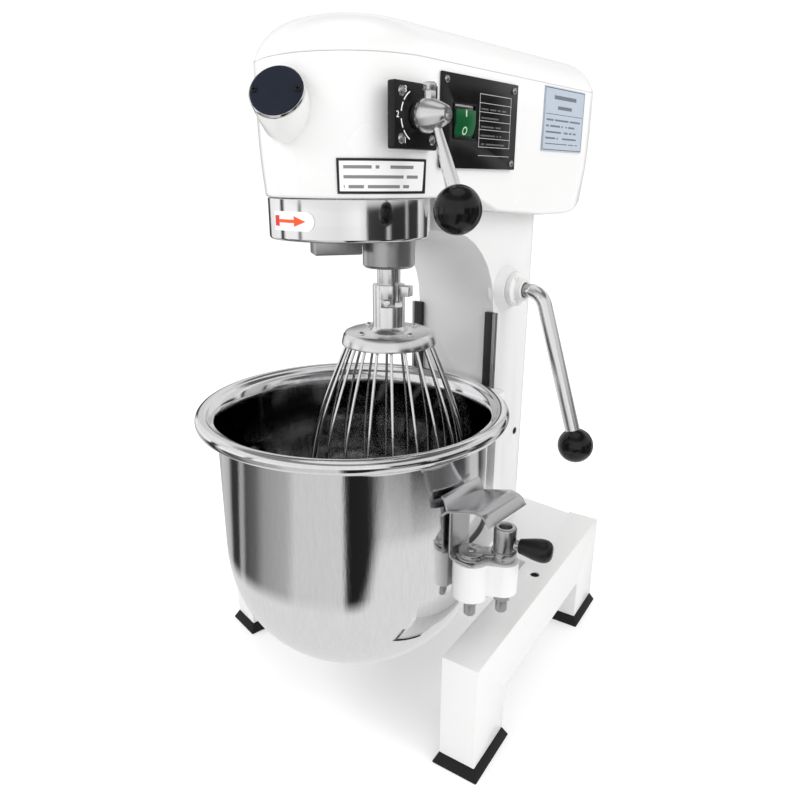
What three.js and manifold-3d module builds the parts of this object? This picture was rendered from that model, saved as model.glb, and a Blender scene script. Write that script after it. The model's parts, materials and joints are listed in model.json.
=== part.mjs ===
// Planetary stand mixer for a bakery or kitchen, in millimetres, +Z up.
// Every piece is first laid out about the planetary axis, which is x = 0, y = 0, with the floor at z = 0
// and the operator at -Y. The whole mixer is then shifted so that the origin is the middle of its footprint.
import * as THREE from 'three';
import { mergeVertices } from 'three/addons/utils/BufferGeometryUtils.js';
import Module from 'manifold-3d';

const wasm = await Module();
wasm.setup();

// ---- driving dimensions ----
const gap = 0.3; // between pieces that rest on or sit in each other
const running = 0.8; // between pieces that move past each other

// Bowl: what stands round it moves out with its radius
const bowlRadius = 146.5;
const rimRadius = bowlRadius + 21.5;
const rimTop = 356.7;
const rimRoll = 7.5; // radius of the rolled edge
const bowlBottom = 60;
const bowlRoundFrom = 205;
const bowlWall = 1.6;
const liftTravel = 70;

// Bowl cradle and clamps
const pinX = bowlRadius + 19.5;
const pinY = -5;
const armTop = 231;
const armThickness = 34;
const clampX = pinX + 25;
const clampY = 14;
const clampRadius = 11.2;
const clampTop = 268;

// Column
const columnHalfWidth = 57;
const columnFront = rimRadius + 10;
const columnRear = columnFront + 93;
const columnCorner = 18;
const columnWall = 8;
const columnSweep = 95; // radius of the curve that carries the head forward
const slideTop = 437;
const slideInner = 49;
const slideOuter = 64.3;
const slideFront = columnFront - 6;
const rearCoverThickness = 3;

// Base: two rails that spread towards the front, joined by a deck under the column
const railLength = columnRear + 98.7;
const railWidth = 41;
const railTop = 133;
const railUnderside = 67.3;
const legLength = 68;
const railSplay = 8.14; // degrees
const railFrontX = clampX + 10.2; // outer front corner of a rail
const railFrontY = -36.6;
const padHeight = 11.9;
const padFlare = 6;
const deckFront = columnFront - 13;
const deckThickness = 33;
const anchorHole = 5.5; // radius
const anchorFromFront = 190;

// Head
const headHalfWidth = 95; // from the planetary axis to the side with the selector
const headShift = 6; // the head's own middle is this far towards that side
const headRear = columnRear + 74;
const headRearCorner = 45;
const headFrontRadius = 89;
const headWall = 6;
const headCrease = 684; // where the side meets the crowned cover
const crownHeight = 722;
const crownRound = 42; // how far in from the edge the crown curves
const undercut = 10; // how far the housing draws in towards its bottom edge
const undercutHeight = 110;
const frontUnderside = 570;
const rearUnderside = 548;

// Planetary
const drumRadius = 80.3;
const drumBottom = 531.3;
const spindleOffset = 42;
const spindleAngle = 67; // degrees from +X, as the machine stands
const ringTeeth = 40;
const pinionTeeth = 12;
const bossRadius = 27.4;
const bossBottom = 499;

// Whisk
const spindleRadius = 12.5;
const sleeveRadius = 17.2;
const sleeveTop = 481;
const whiskPlateTop = 432;
const whiskPlateRadius = 51.5;
const whiskWidest = 92;
const whiskBottom = 148;
const wireRadius = 1.6;
const wireLoops = 10;

// Lift lever
const leverY = columnFront + 25;
const leverZ = 463;
const leverRod = 8; // radius
const leverReach = 175; // from the shaft down to the ball
const crankSweep = 140; // degrees of lever for the whole travel
const ballRadius = 20.5;

// Gear selector and switch panel on the +X side of the head
const selectorY = -22;
const selectorZ = 636;
const selectorBox = [56, 52, 9]; // along Y, along Z, thickness
const panelY = [19, 143];
const panelZ = [596, 676];
const panelThickness = 2.4;
const labelThickness = 0.6;

// Motor and belt drive
const motorY = columnFront + 44;
const motorRadius = 58;
const layshaftY = 66;
const motorPulley = 22;
const layshaftPulley = 44;

// ---- finishes ----
const finish = (color, roughness, metalness = 0) =>
  new THREE.MeshStandardMaterial({ color, roughness, metalness });
const whitePaint = () => finish(0xf3f3f1, 0.3);
const polished = () => finish(0xd8d9da, 0.1, 1);
const satin = () => finish(0xb9babb, 0.35, 1);
const castMetal = () => finish(0xa9aaab, 0.5, 1);
const steel = () => finish(0x8e9092, 0.4, 1);
const blackPlastic = () => finish(0x0d0d0f, 0.25);
const rubber = () => finish(0x1b1b1c, 0.8);
const printed = (color) => finish(color, 0.5);

// ---- helpers ----
const rad = THREE.MathUtils.degToRad;
const mixer = new THREE.Group();

// A closed geometry becomes a solid whose faces point out
function solid(geometry) {
  const bare = geometry.clone();
  bare.deleteAttribute('normal');
  bare.deleteAttribute('uv');
  const merged = mergeVertices(bare, 1e-4);
  const vertProperties = new Float32Array(merged.attributes.position.array);
  const triVerts = new Uint32Array(merged.index.array);
  const made = new wasm.Manifold(new wasm.Mesh({ numProp: 3, vertProperties, triVerts }));
  if (made.volume() > 0) return made;
  for (let i = 0; i < triVerts.length; i += 3) {
    [triVerts[i], triVerts[i + 1]] = [triVerts[i + 1], triVerts[i]];
  }
  return new wasm.Manifold(new wasm.Mesh({ numProp: 3, vertProperties, triVerts }));
}

function join(first, ...others) {
  return others.reduce((sum, other) => sum.add(other), first);
}

function cut(first, ...others) {
  return others.reduce((rest, other) => rest.subtract(other), first);
}

function piece(name, material, shape, parent = mixer) {
  const { vertProperties, triVerts } = shape.getMesh();
  const geometry = new THREE.BufferGeometry();
  geometry.setAttribute('position', new THREE.BufferAttribute(vertProperties, 3));
  geometry.setIndex(new THREE.BufferAttribute(triVerts, 1));
  const mesh = new THREE.Mesh(geometry, material);
  mesh.name = name;
  parent.add(mesh);
  return mesh;
}

const block = (x, y, z) => solid(
  new THREE.BoxGeometry(x[1] - x[0], y[1] - y[0], z[1] - z[0])
    .translate((x[0] + x[1]) / 2, (y[0] + y[1]) / 2, (z[0] + z[1]) / 2));

const polygon = (points) => new THREE.Shape(points.map(([x, y]) => new THREE.Vector2(x, y)));

// A flat outline in X and Y, raised from z = low to z = high
const upright = (shape, low, high, curveSegments = 8) => solid(
  new THREE.ExtrudeGeometry(shape, { depth: high - low, bevelEnabled: false, curveSegments })
    .translate(0, 0, low));

// An outline drawn in Y and Z, carried along X
const sideways = (shape, left, right, curveSegments = 8) => solid(
  new THREE.ExtrudeGeometry(shape, { depth: right - left, bevelEnabled: false, curveSegments })
    .rotateX(Math.PI / 2).rotateZ(Math.PI / 2).translate(left, 0, 0));

// An outline drawn in X and Z, carried along Y
const frontways = (shape, front, back, curveSegments = 8) => solid(
  new THREE.ExtrudeGeometry(shape, { depth: back - front, bevelEnabled: false, curveSegments })
    .rotateX(Math.PI / 2).translate(0, back, 0));

// Turned about Z: the profile's points are [radius, height]
const turnedGeometry = (profile, segments) => new THREE.LatheGeometry(
  profile.map(([r, z]) => new THREE.Vector2(r, z)), segments).rotateX(Math.PI / 2);
const turned = (profile, segments = 20) => solid(turnedGeometry(profile, segments));

const cylinder = (radius, low, high, segments = 16) =>
  turned([[0, low], [radius, low], [radius, high], [0, high]], segments);
const tube = (outer, inner, low, high, segments = 24) => turned(
  [[inner, low], [outer, low], [outer, high], [inner, high], [inner, low]], segments);
const alongX = (shape) => shape.rotate([0, 90, 0]);

const rod = (points, radius, sides, steps) => {
  const path = new THREE.CatmullRomCurve3(points.map((p) => new THREE.Vector3(...p)));
  const section = new THREE.Shape().absarc(0, 0, radius, 0, 2 * Math.PI);
  const options = { steps, extrudePath: path, bevelEnabled: false, curveSegments: sides / 2 };
  return solid(new THREE.ExtrudeGeometry(section, options));
};

const ball = (radius, centre, across = 16, around = 10) => solid(
  new THREE.SphereGeometry(radius, across, around).rotateX(Math.PI / 2).translate(...centre));

// A gear blank's outline with straight-sided teeth; an internal gear's teeth point inwards
function gearOutline(teeth, pitch, outward, inward, share, Kind = THREE.Shape) {
  const points = [];
  for (let i = 0; i < teeth; i += 1) {
    const middle = (2 * Math.PI * i) / teeth;
    const pitchAngle = (Math.PI / teeth) * share;
    const corners = [[-1.35, -inward], [-0.6, outward], [0.6, outward], [1.35, -inward]];
    corners.forEach(([side, height]) => {
      const angle = middle + side * pitchAngle;
      points.push([(pitch + height) * Math.cos(angle), (pitch + height) * Math.sin(angle)]);
    });
  }
  const outline = new Kind();
  outline.setFromPoints(points.map(([x, y]) => new THREE.Vector2(x, y)));
  return outline;
}

const between = (low, high, share) => low + (high - low) * share;

// ---- base ----
const railPlace = (shape, side) => shape
  .rotate([0, 0, side * railSplay])
  .translate([side * railFrontX, railFrontY, 0]);
// A rail's own frame runs back along Y from its outer front corner, with its width towards the middle
const railX = (side) => (side > 0 ? [-railWidth, 0] : [0, railWidth]);
const legs = [['front', 0, legLength], ['rear', railLength - legLength, railLength]];

function rail(side) {
  const legBottom = padHeight + gap;
  const profile = polygon([
    [0, legBottom], [legLength, legBottom], [legLength, railUnderside],
    [railLength - legLength, railUnderside], [railLength - legLength, legBottom],
    [railLength, legBottom], [railLength, railTop], [0, railTop]]);
  const hole = cylinder(anchorHole, railUnderside - 1, railTop + 1, 12)
    .translate([(-side * railWidth) / 2, anchorFromFront, 0]);
  return railPlace(cut(sideways(profile, ...railX(side)), hole), side);
}

// Half the distance between the rails' middles at a place along the machine
const railMiddleAt = (y) => railFrontX - railWidth / 2 - (y - railFrontY) * Math.tan(rad(railSplay));
const deckRear = railFrontY + railLength * Math.cos(rad(railSplay)) - railWidth / 4;

function base() {
  const deck = upright(polygon([
    [-railMiddleAt(deckFront), deckFront], [railMiddleAt(deckFront), deckFront],
    [railMiddleAt(deckRear), deckRear], [-railMiddleAt(deckRear), deckRear]]),
  railTop - deckThickness, railTop);
  return join(rail(1), rail(-1), deck);
}

function pad(side, from, to) {
  const [low, high] = railX(side);
  const geometry = new THREE.BoxGeometry(high - low, to - from, padHeight);
  const { position } = geometry.attributes;
  for (let i = 0; i < position.count; i += 1) {
    if (position.getZ(i) < 0) {
      position.setX(i, position.getX(i) + Math.sign(position.getX(i)) * padFlare);
      position.setY(i, position.getY(i) + Math.sign(position.getY(i)) * padFlare);
    }
  }
  geometry.translate((low + high) / 2, (from + to) / 2, padHeight / 2);
  return railPlace(solid(geometry), side);
}

piece('base_frame', whitePaint(), base());
for (const [side, hand] of [[1, 'right'], [-1, 'left']]) {
  for (const [end, from, to] of legs) piece(`foot_pad_${end}_${hand}`, rubber(), pad(side, from, to));
}

// ---- column ----
const columnBottom = railTop + gap;
const columnTopFront = columnFront - columnSweep;
const liftSlot = [armTop + 4, rimTop - 10];
const liftBarHalf = 6;
const bossFace = columnHalfWidth + 11; // the cast boss that the lift shaft's bearing is bolted to

// The head's underside falls from the planetary's seat to the lower rear part
const undersidePoints = [[columnTopFront + 1, frontUnderside], [columnFront - 48, 555],
  [columnFront + 52, rearUnderside]];
const headLift = (y) => {
  const [a, b, c] = undersidePoints;
  if (y <= a[0]) return a[1];
  if (y >= c[0]) return c[1];
  const [from, to] = y < b[0] ? [a, b] : [b, c];
  return between(from[1], to[1], (y - from[0]) / (to[0] - from[0]));
};

function columnProfile() {
  const shape = new THREE.Shape();
  const curveStart = slideTop + 3;
  shape.moveTo(columnFront, columnBottom);
  shape.lineTo(columnFront, curveStart);
  for (let i = 1; i <= 8; i += 1) {
    const turn = (Math.PI / 2) * (i / 8);
    shape.lineTo(columnTopFront + columnSweep * Math.cos(turn), curveStart + columnSweep * Math.sin(turn));
  }
  for (const y of [columnTopFront, undersidePoints[1][0], undersidePoints[2][0], columnRear]) {
    shape.lineTo(y, headLift(y) - gap);
  }
  shape.lineTo(columnRear, columnBottom);
  return shape;
}

function roundedSlab(halfX, front, rear, corner, low, high) {
  const shape = new THREE.Shape();
  shape.moveTo(-halfX, front);
  shape.lineTo(halfX, front);
  shape.absarc(halfX - corner, rear - corner, corner, 0, Math.PI / 2);
  shape.absarc(-halfX + corner, rear - corner, corner, Math.PI / 2, Math.PI);
  return upright(shape, low, high, 6);
}

function column() {
  const outer = sideways(columnProfile(), -columnHalfWidth, columnHalfWidth)
    .intersect(roundedSlab(columnHalfWidth, 0, columnRear, columnCorner, 0, crownHeight));
  const inner = block(
    [columnWall - columnHalfWidth, columnHalfWidth - columnWall],
    [columnFront + columnWall, columnRear - columnWall - rearCoverThickness],
    [columnBottom + columnWall, rearUnderside + 20]);
  const rearHatch = block(
    [-columnHalfWidth + columnCorner, columnHalfWidth - columnCorner],
    [leverY, columnRear + 1], [columnBottom + 30, rearUnderside - 60]);
  const slot = block([-liftBarHalf - 3, liftBarHalf + 3], [columnFront - 5, leverY], liftSlot);
  const shaftHole = alongX(cylinder(leverRod + running, 0, columnHalfWidth + 20, 16))
    .translate([10, leverY, leverZ]);
  const bossSeat = alongX(turned([[0, 0], [30, columnHalfWidth - 5], [22, bossFace], [0, bossFace]], 20))
    .translate([0, leverY, leverZ]);
  const sideHole = alongX(cylinder(5, 0, columnHalfWidth + 20, 12)).translate([10, leverY + 41, 267]);
  return cut(join(outer, bossSeat), inner, rearHatch, slot, shaftHole, sideHole);
}

piece('column', whitePaint(), column());
piece('column_rear_cover', whitePaint(), block(
  [-columnHalfWidth + columnCorner + gap, columnHalfWidth - columnCorner - gap],
  [columnRear - rearCoverThickness, columnRear],
  [columnBottom + 30 + gap, rearUnderside - 60 - gap]));
for (const [side, hand] of [[1, 'right'], [-1, 'left']]) {
  const x = [side * slideInner, side * slideOuter].sort((a, b) => a - b);
  piece(`slideway_${hand}`, blackPlastic(), block(
    x, [slideFront, columnFront - gap], [columnBottom + 20, slideTop]));
}

// ---- head ----
function headPlan(inset) {
  const half = headHalfWidth - headShift - inset;
  const [left, right] = [headShift - half, headShift + half];
  const front = headFrontRadius - inset;
  const rear = headRear - inset;
  const corner = headRearCorner - inset;
  const shape = new THREE.Shape();
  shape.absellipse(headShift, 0, half, front, Math.PI, 2 * Math.PI, false);
  shape.lineTo(right, rear - corner);
  shape.absarc(right - corner, rear - corner, corner, 0, Math.PI / 2);
  shape.absarc(left + corner, rear - corner, corner, Math.PI / 2, Math.PI);
  return shape;
}

// Side view of the housing under the crease, with the rear underside rolled up to the back
function housingProfile(inset, top) {
  const rear = headRear + 1;
  const shape = new THREE.Shape();
  shape.moveTo(-headFrontRadius - 1, top);
  shape.lineTo(-headFrontRadius - 1, frontUnderside + inset);
  for (const [y, z] of undersidePoints) shape.lineTo(y, z + inset);
  shape.lineTo(rear - 60, rearUnderside + inset);
  shape.quadraticCurveTo(rear - inset, rearUnderside + inset, rear - inset, rearUnderside + 60);
  shape.lineTo(rear - inset, top);
  return shape;
}

const ringSeatTop = frontUnderside + 19;
const motorSeat = headLift(motorY - motorRadius) + headWall;
const mainShaftRadius = 14;

// A plan whose bottom or top edge is rounded: the bevel grows out from an outline set in by its width
function rounded(width, height, bottom, depth, curveSegments, bevelSegments, grow = 0) {
  const options = { depth, curveSegments, bevelSegments, bevelSize: width, bevelThickness: height };
  const plan = headPlan(width - grow);
  return solid(new THREE.ExtrudeGeometry(plan, options).translate(0, 0, bottom + height));
}

const housingBody = (grow) => rounded(
  undercut, undercutHeight, rearUnderside - 1, crownHeight, 8, 3, grow);

function housing() {
  const outer = housingBody(0)
    .intersect(sideways(housingProfile(0, headCrease), -headHalfWidth, headHalfWidth))
    .add(selectorPad());
  const floor = ringSeatTop + headWall - frontUnderside;
  const hollow = upright(headPlan(headWall), 0, headCrease + 1, 6).intersect(join(
    sideways(housingProfile(floor, headCrease + 1), -headHalfWidth, headHalfWidth)
      .intersect(block([-headHalfWidth, headHalfWidth], [-100, 100], [0, crownHeight])),
    sideways(housingProfile(headWall, headCrease + 1), -headHalfWidth, headHalfWidth)
      .intersect(block([-headHalfWidth, headHalfWidth], [100, headRear], [motorSeat, crownHeight]))));
  const ringSeat = cylinder(ringOuter + gap, frontUnderside - 1, ringSeatTop, 40);
  const shaftBore = cylinder(mainShaftRadius + running, ringSeatTop - 1, ringSeatTop + 20, 20);
  const selectorBore = alongX(cylinder(6 + running, 0, headHalfWidth, 12))
    .translate([headHalfWidth / 2, selectorY, selectorZ]);
  const switchHole = block(
    [headHalfWidth - headWall - 1, headHalfWidth + 1],
    [rockerY[0] - 2, rockerY[1] + 2], [rockerZ[0] - 2, rockerZ[1] + 2]);
  return cut(outer, hollow, ringSeat, shaftBore, selectorBore, switchHole);
}

// Flat cast pad that carries the gear selector where the housing has begun to curve away
const selectorPad = () => block([headHalfWidth / 2, headHalfWidth],
  [selectorY - selectorBox[0] / 2, selectorY + selectorBox[0] / 2],
  [selectorZ - selectorBox[1] / 2, selectorZ + selectorBox[1] / 2])
  .subtract(upright(headPlan(headWall), 0, crownHeight, 6));

// The cover is a crown with a generous round along its whole edge, hollow underneath
function headCover() {
  const crown = (inset, segments) => rounded(crownRound - inset, crownHeight - headCrease,
    headCrease - (crownHeight - headCrease) - inset, 0.1, segments, inset ? 3 : 5)
    .intersect(upright(headPlan(inset), headCrease + gap - inset, crownHeight + 1, segments));
  return cut(crown(0, 7), crown(headWall, 4));
}

// The power take-off on the front right of the head, which leans back and is closed by a cover
const hubTurn = 33; // degrees round from the front
const hubLean = 29; // degrees up
const hubRadius = 24;
const hubCentre = [25, -105, 652.5];
const hubPlace = (shape) => shape.rotate([90 - hubLean, 0, hubTurn]).translate(hubCentre);

function hubBarrel() {
  const barrel = turned([[0, -34], [hubRadius, -34], [hubRadius, 0], [hubRadius - 3, 0],
    [hubRadius - 3, -4], [10, -4], [10, -24], [0, -24]], 28);
  return cut(hubPlace(barrel), upright(headPlan(-gap), 0, crownHeight, 12));
}

function hubCover() {
  const disc = turned([[0, gap], [hubRadius - 1.2, gap], [hubRadius - 1.2, 4.4], [0, 4.4]], 28);
  const screws = [-1, 1].map((side) => cylinder(3, 4, 6.6, 10).translate([side * (hubRadius - 6), 0, 0]));
  return hubPlace(join(disc, ...screws));
}

const module = (2 * spindleOffset) / (ringTeeth - pinionTeeth);
const ringPitch = (module * ringTeeth) / 2;
const pinionPitch = (module * pinionTeeth) / 2;
const ringOuter = ringPitch + 12;
const rockerY = [38, 69];
const rockerZ = [623, 651];

piece('head_housing', whitePaint(), housing());
piece('head_cover', whitePaint(), headCover());
piece('hub_barrel', whitePaint(), hubBarrel());
piece('hub_cover', printed(0x1c2030), hubCover());

// ---- planetary ----
const drumTop = frontUnderside - running;
const spindleX = spindleOffset * Math.cos(rad(spindleAngle));
const spindleY = spindleOffset * Math.sin(rad(spindleAngle));
const atSpindle = (shape) => shape.rotate([0, 0, spindleAngle]).translate([spindleX, spindleY, 0]);
const gearLow = frontUnderside + 4;
const gearHigh = frontUnderside + 16;
const mainGearLow = ringSeatTop + headWall + 12;
const mainGearTeeth = 24;
const layshaftTeeth = 8;
const mainGearPitch = (layshaftY * mainGearTeeth) / (mainGearTeeth + layshaftTeeth);
const layshaftPitch = layshaftY - mainGearPitch;

function ringGear() {
  const outline = new THREE.Shape().absarc(0, 0, ringOuter, 0, 2 * Math.PI);
  const spaces = gearOutline(ringTeeth, ringPitch, 1.25 * module, 0.8 * module, 0.62, THREE.Path);
  outline.holes.push(spaces);
  return upright(outline, gearLow, gearHigh, 24).rotate([0, 0, spindleAngle]);
}

function pinion() {
  const outline = gearOutline(pinionTeeth, pinionPitch, 0.9 * module, 1.2 * module, 0.4);
  const bore = new THREE.Path().absarc(0, 0, 9 + gap, 0, 2 * Math.PI);
  outline.holes.push(bore);
  return atSpindle(upright(outline, gearLow, gearHigh, 8));
}

function carrier() {
  const shaftTop = headCrease - 20;
  const plateTop = drumBottom + 8;
  const plate = turned([[0, drumBottom], [drumRadius - 3 - gap, drumBottom],
    [drumRadius - 3 - gap, plateTop], [mainShaftRadius + 6, plateTop],
    [mainShaftRadius, plateTop + 10], [mainShaftRadius, shaftTop], [0, shaftTop]], 32);
  const boss = cylinder(bossRadius, bossBottom, plateTop, 24).translate([spindleX, spindleY, 0]);
  const balance = block([-44, 4], [-16, 16], [drumBottom - 17, drumBottom + 1])
    .rotate([0, 0, spindleAngle - 10]).translate([0, 6, 0]);
  const bore = cylinder(spindleRadius + gap, 0, plateTop + 1, 20).translate([spindleX, spindleY, 0]);
  return cut(join(plate, boss, balance), bore);
}

function mainGear() {
  const outline = gearOutline(mainGearTeeth, mainGearPitch, 3.2, 4, 0.4);
  outline.holes.push(new THREE.Path().absarc(0, 0, mainShaftRadius + gap, 0, 2 * Math.PI));
  return upright(outline, mainGearLow, mainGearLow + 12, 10);
}

function layshaft() {
  const gear = upright(gearOutline(layshaftTeeth, layshaftPitch, 3.2, 4, 0.4),
    mainGearLow, mainGearLow + 12).rotate([0, 0, -90 + 180 / layshaftTeeth]);
  const shaft = cylinder(8, mainGearLow - 9, headCrease + 22, 12);
  return join(gear, shaft).translate([0, layshaftY, 0]);
}

const pulleyLow = headCrease + 6;
const pulleyHigh = pulleyLow + 14;
const grooved = (radius, bore) => turned([[bore, pulleyLow], [radius, pulleyLow],
  [radius - 4, pulleyLow + 5], [radius - 4, pulleyLow + 9], [radius, pulleyHigh],
  [bore, pulleyHigh], [bore, pulleyLow]], 24);

function belt() {
  const half = (radius) => radius - 4 + gap;
  const span = motorY - layshaftY;
  const lean = Math.asin((half(layshaftPulley) - half(motorPulley)) / span);
  const ring = (extra, Kind) => {
    const path = new Kind();
    path.absarc(0, motorY, half(motorPulley) + extra, lean, Math.PI - lean);
    path.absarc(0, layshaftY, half(layshaftPulley) + extra, Math.PI - lean, 2 * Math.PI + lean);
    return path;
  };
  const outline = ring(3, THREE.Shape);
  outline.holes.push(ring(0, THREE.Path));
  return upright(outline, pulleyLow + 5.3, pulleyLow + 8.7, 12);
}

piece('ring_gear', steel(), ringGear());
piece('planetary_carrier', castMetal(), carrier());
piece('drum_skirt', polished(), tube(drumRadius, drumRadius - 3, drumBottom, drumTop, 40));
piece('direction_sticker', printed(0xfafafa), cut(
  cylinder(drumRadius + gap + labelThickness, drumBottom + 10, drumBottom + 28, 48),
  cylinder(drumRadius + gap, drumBottom, drumTop, 48))
  .intersect(block([-18, 30], [-drumRadius - 5, 0], [drumBottom, drumTop])));
piece('main_gear', steel(), mainGear());
piece('layshaft', steel(), layshaft());
piece('layshaft_pulley', castMetal(), grooved(layshaftPulley, 8 + gap).translate([0, layshaftY, 0]));
piece('drive_belt', rubber(), belt());
piece('motor', blackPlastic(), turned([[0, motorSeat + gap],
  [motorRadius, motorSeat + gap], [motorRadius, headCrease - 12],
  [motorRadius - 12, headCrease - 2], [10, headCrease - 2], [10, headCrease - 14],
  [0, headCrease - 14]], 28).translate([0, motorY, 0]));
piece('motor_shaft', steel(), join(cylinder(8, headCrease - 13.7, pulleyHigh + 3, 12),
  grooved(motorPulley, 7.9)).translate([0, motorY, 0]));

// ---- agitator shaft and whisk ----
const pinZ = sleeveTop - 18;
const crossPinRadius = 4;
const slotTurn = 40; // degrees that the sleeve turns under the cross pin

function agitatorShaft() {
  const shaft = turned([[0, sleeveTop - 36], [spindleRadius - gap, sleeveTop - 36],
    [spindleRadius - gap, drumBottom + 16], [9, drumBottom + 16], [9, gearHigh + 2],
    [0, gearHigh + 2]], 20);
  const crossPin = alongX(cylinder(crossPinRadius, -sleeveRadius - 1, sleeveRadius + 1, 10))
    .translate([0, 0, pinZ]);
  return atSpindle(join(shaft, crossPin).rotate([0, 0, pinTurn]));
}

// The cross pin stands along the line that faces the operator's right
const pinTurn = -spindleAngle - 55;

function bayonet() {
  const halfPin = crossPinRadius + 0.6;
  const reach = sleeveRadius + 6;
  const slot = new THREE.Shape();
  slot.moveTo(0, 0);
  slot.lineTo(reach * Math.cos(rad(22)), -reach * Math.sin(rad(22)));
  slot.absarc(0, 0, reach, rad(-22), rad(slotTurn + 22));
  const wedge = upright(slot, pinZ - halfPin, pinZ + halfPin, 3);
  const entry = block([0, reach], [-halfPin, halfPin], [pinZ, sleeveTop + 1]).rotate([0, 0, slotTurn]);
  return join(wedge, entry, join(wedge, entry).rotate([0, 0, 180]));
}

function whiskHub() {
  const body = turned([[0, whiskPlateTop - 14], [whiskPlateRadius, whiskPlateTop - 14],
    [whiskPlateRadius - 4, whiskPlateTop - 2], [whiskPlateRadius - 6, whiskPlateTop],
    [sleeveRadius + 2.5, whiskPlateTop], [sleeveRadius, whiskPlateTop + 5],
    [sleeveRadius, sleeveTop], [0, sleeveTop]], 32);
  const bore = cylinder(spindleRadius + gap, sleeveTop - 38, sleeveTop + 1, 20);
  const lug = block([sleeveRadius - 3, sleeveRadius + 9], [-5, 5], [sleeveTop - 11, sleeveTop])
    .rotate([0, 0, slotTurn + 28]);
  const hub = cut(join(body, lug), bore, bayonet());
  const screws = [0, 1, 2, 3].map((i) => cylinder(4, whiskPlateTop - 1, whiskPlateTop + 2.6, 8)
    .translate([whiskPlateRadius - 15, 0, 0]).rotate([0, 0, 90 * i + 45]));
  return atSpindle(join(hub, ...screws).rotate([0, 0, pinTurn]));
}

function whiskWires() {
  const top = whiskPlateTop - 14 + 2;
  const trim = cylinder(whiskPlateRadius, whiskPlateTop - 14 - gap, whiskPlateTop, 12);
  const depth = top - whiskBottom;
  const radiusAt = (share) => between(whiskPlateRadius - 7, whiskWidest,
    Math.sin((Math.PI / 2) * Math.min(share / 0.62, 1)));
  const loops = [];
  for (let i = 0; i < wireLoops; i += 1) {
    const turn = (Math.PI * (i + 0.5)) / wireLoops;
    const points = [];
    for (let step = -9; step <= 9; step += 1) {
      const share = 1 - (Math.abs(step) / 9) ** 1.5;
      const close = share > 0.62 ? Math.sqrt(Math.max(0, 1 - ((share - 0.62) / 0.38) ** 2)) : 1;
      const radius = Math.sign(step) * radiusAt(share) * close;
      points.push([radius * Math.cos(turn), radius * Math.sin(turn), top - depth * share]);
    }
    loops.push(rod(points, wireRadius, 6, 11));
  }
  return atSpindle(cut(join(...loops), trim));
}

piece('agitator_shaft', satin(), agitatorShaft());
piece('agitator_pinion', steel(), pinion());
piece('whisk_hub', satin(), whiskHub());
piece('whisk_wires', polished(), whiskWires());

// ---- bowl ----
function bowlWallProfile() {
  const outer = [];
  const inner = [];
  const depth = bowlRoundFrom - bowlBottom;
  const steps = 7;
  for (let i = 0; i <= steps; i += 1) {
    const turn = (Math.PI / 2) * (i / steps);
    const bulge = (value) => value ** (2 / 2.2);
    const side = bulge(Math.sin(turn));
    const drop = bulge(Math.cos(turn));
    outer.push([bowlRadius * side, bowlRoundFrom - depth * drop]);
    inner.push([(bowlRadius - bowlWall) * side, bowlRoundFrom - (depth - bowlWall) * drop]);
  }
  const rimCentre = [rimRadius - rimRoll, rimTop - rimRoll];
  const roll = [];
  for (let i = 0; i <= 6; i += 1) {
    const turn = -Math.PI / 2 + (Math.PI * 1.35 * i) / 6;
    roll.push([rimCentre[0] + rimRoll * Math.cos(turn), rimCentre[1] + rimRoll * Math.sin(turn)]);
  }
  const neck = rimTop - 2 * rimRoll;
  return [...outer, [bowlRadius, neck - 6], [bowlRadius + 3, neck - 1], ...roll,
    [bowlRadius + 2, rimTop - rimRoll], [bowlRadius - bowlWall, neck - 4], ...inner.reverse()];
}

// Ears: a bracket on each side of the bowl, with a flange on the locating pin and a winged handle above
const earPlate = bowlRadius + gap;
const flangeThickness = 2.6;
const wingHalf = 31;

function ear(side) {
  const path = polygon([
    [earPlate, armTop + gap], [pinX + 11, armTop + gap], [pinX + 11, armTop + gap + flangeThickness],
    [earPlate + 3, armTop + gap + flangeThickness], [earPlate + 3, armTop + 57],
    [earPlate + 8, armTop + 61], [pinX + 26, armTop + 67], [pinX + 38, armTop + 59],
    [pinX + 39, armTop + 61], [pinX + 27, armTop + 70], [earPlate + 7, armTop + 64.5],
    [earPlate + 2.4, armTop + 76], [earPlate, armTop + 76]]);
  const handle = frontways(path, -wingHalf, wingHalf);
  const foot = block([0, pinX + 40], [-18, 18], [0, armTop + 50]);
  const wing = block([0, pinX + 60], [-wingHalf - 1, wingHalf + 1], [armTop + 50, armTop + 80]);
  const hole = cylinder(7 + gap, armTop - 1, armTop + 8, 14).translate([pinX, 0, 0]);
  const shape = cut(handle.intersect(join(foot, wing)), hole).translate([0, pinY, 0]);
  return side > 0 ? shape : shape.mirror([1, 0, 0]);
}

piece('bowl', polished(), turned(bowlWallProfile(), 32));

// ---- bowl cradle ----
const cradleInner = bowlRadius + 3.5;
const cradleOuter = cradleInner + 17;
const carriageTop = rimTop - 12;
const carriageHalf = 84;
const carriageFront = columnFront - 22;

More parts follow.
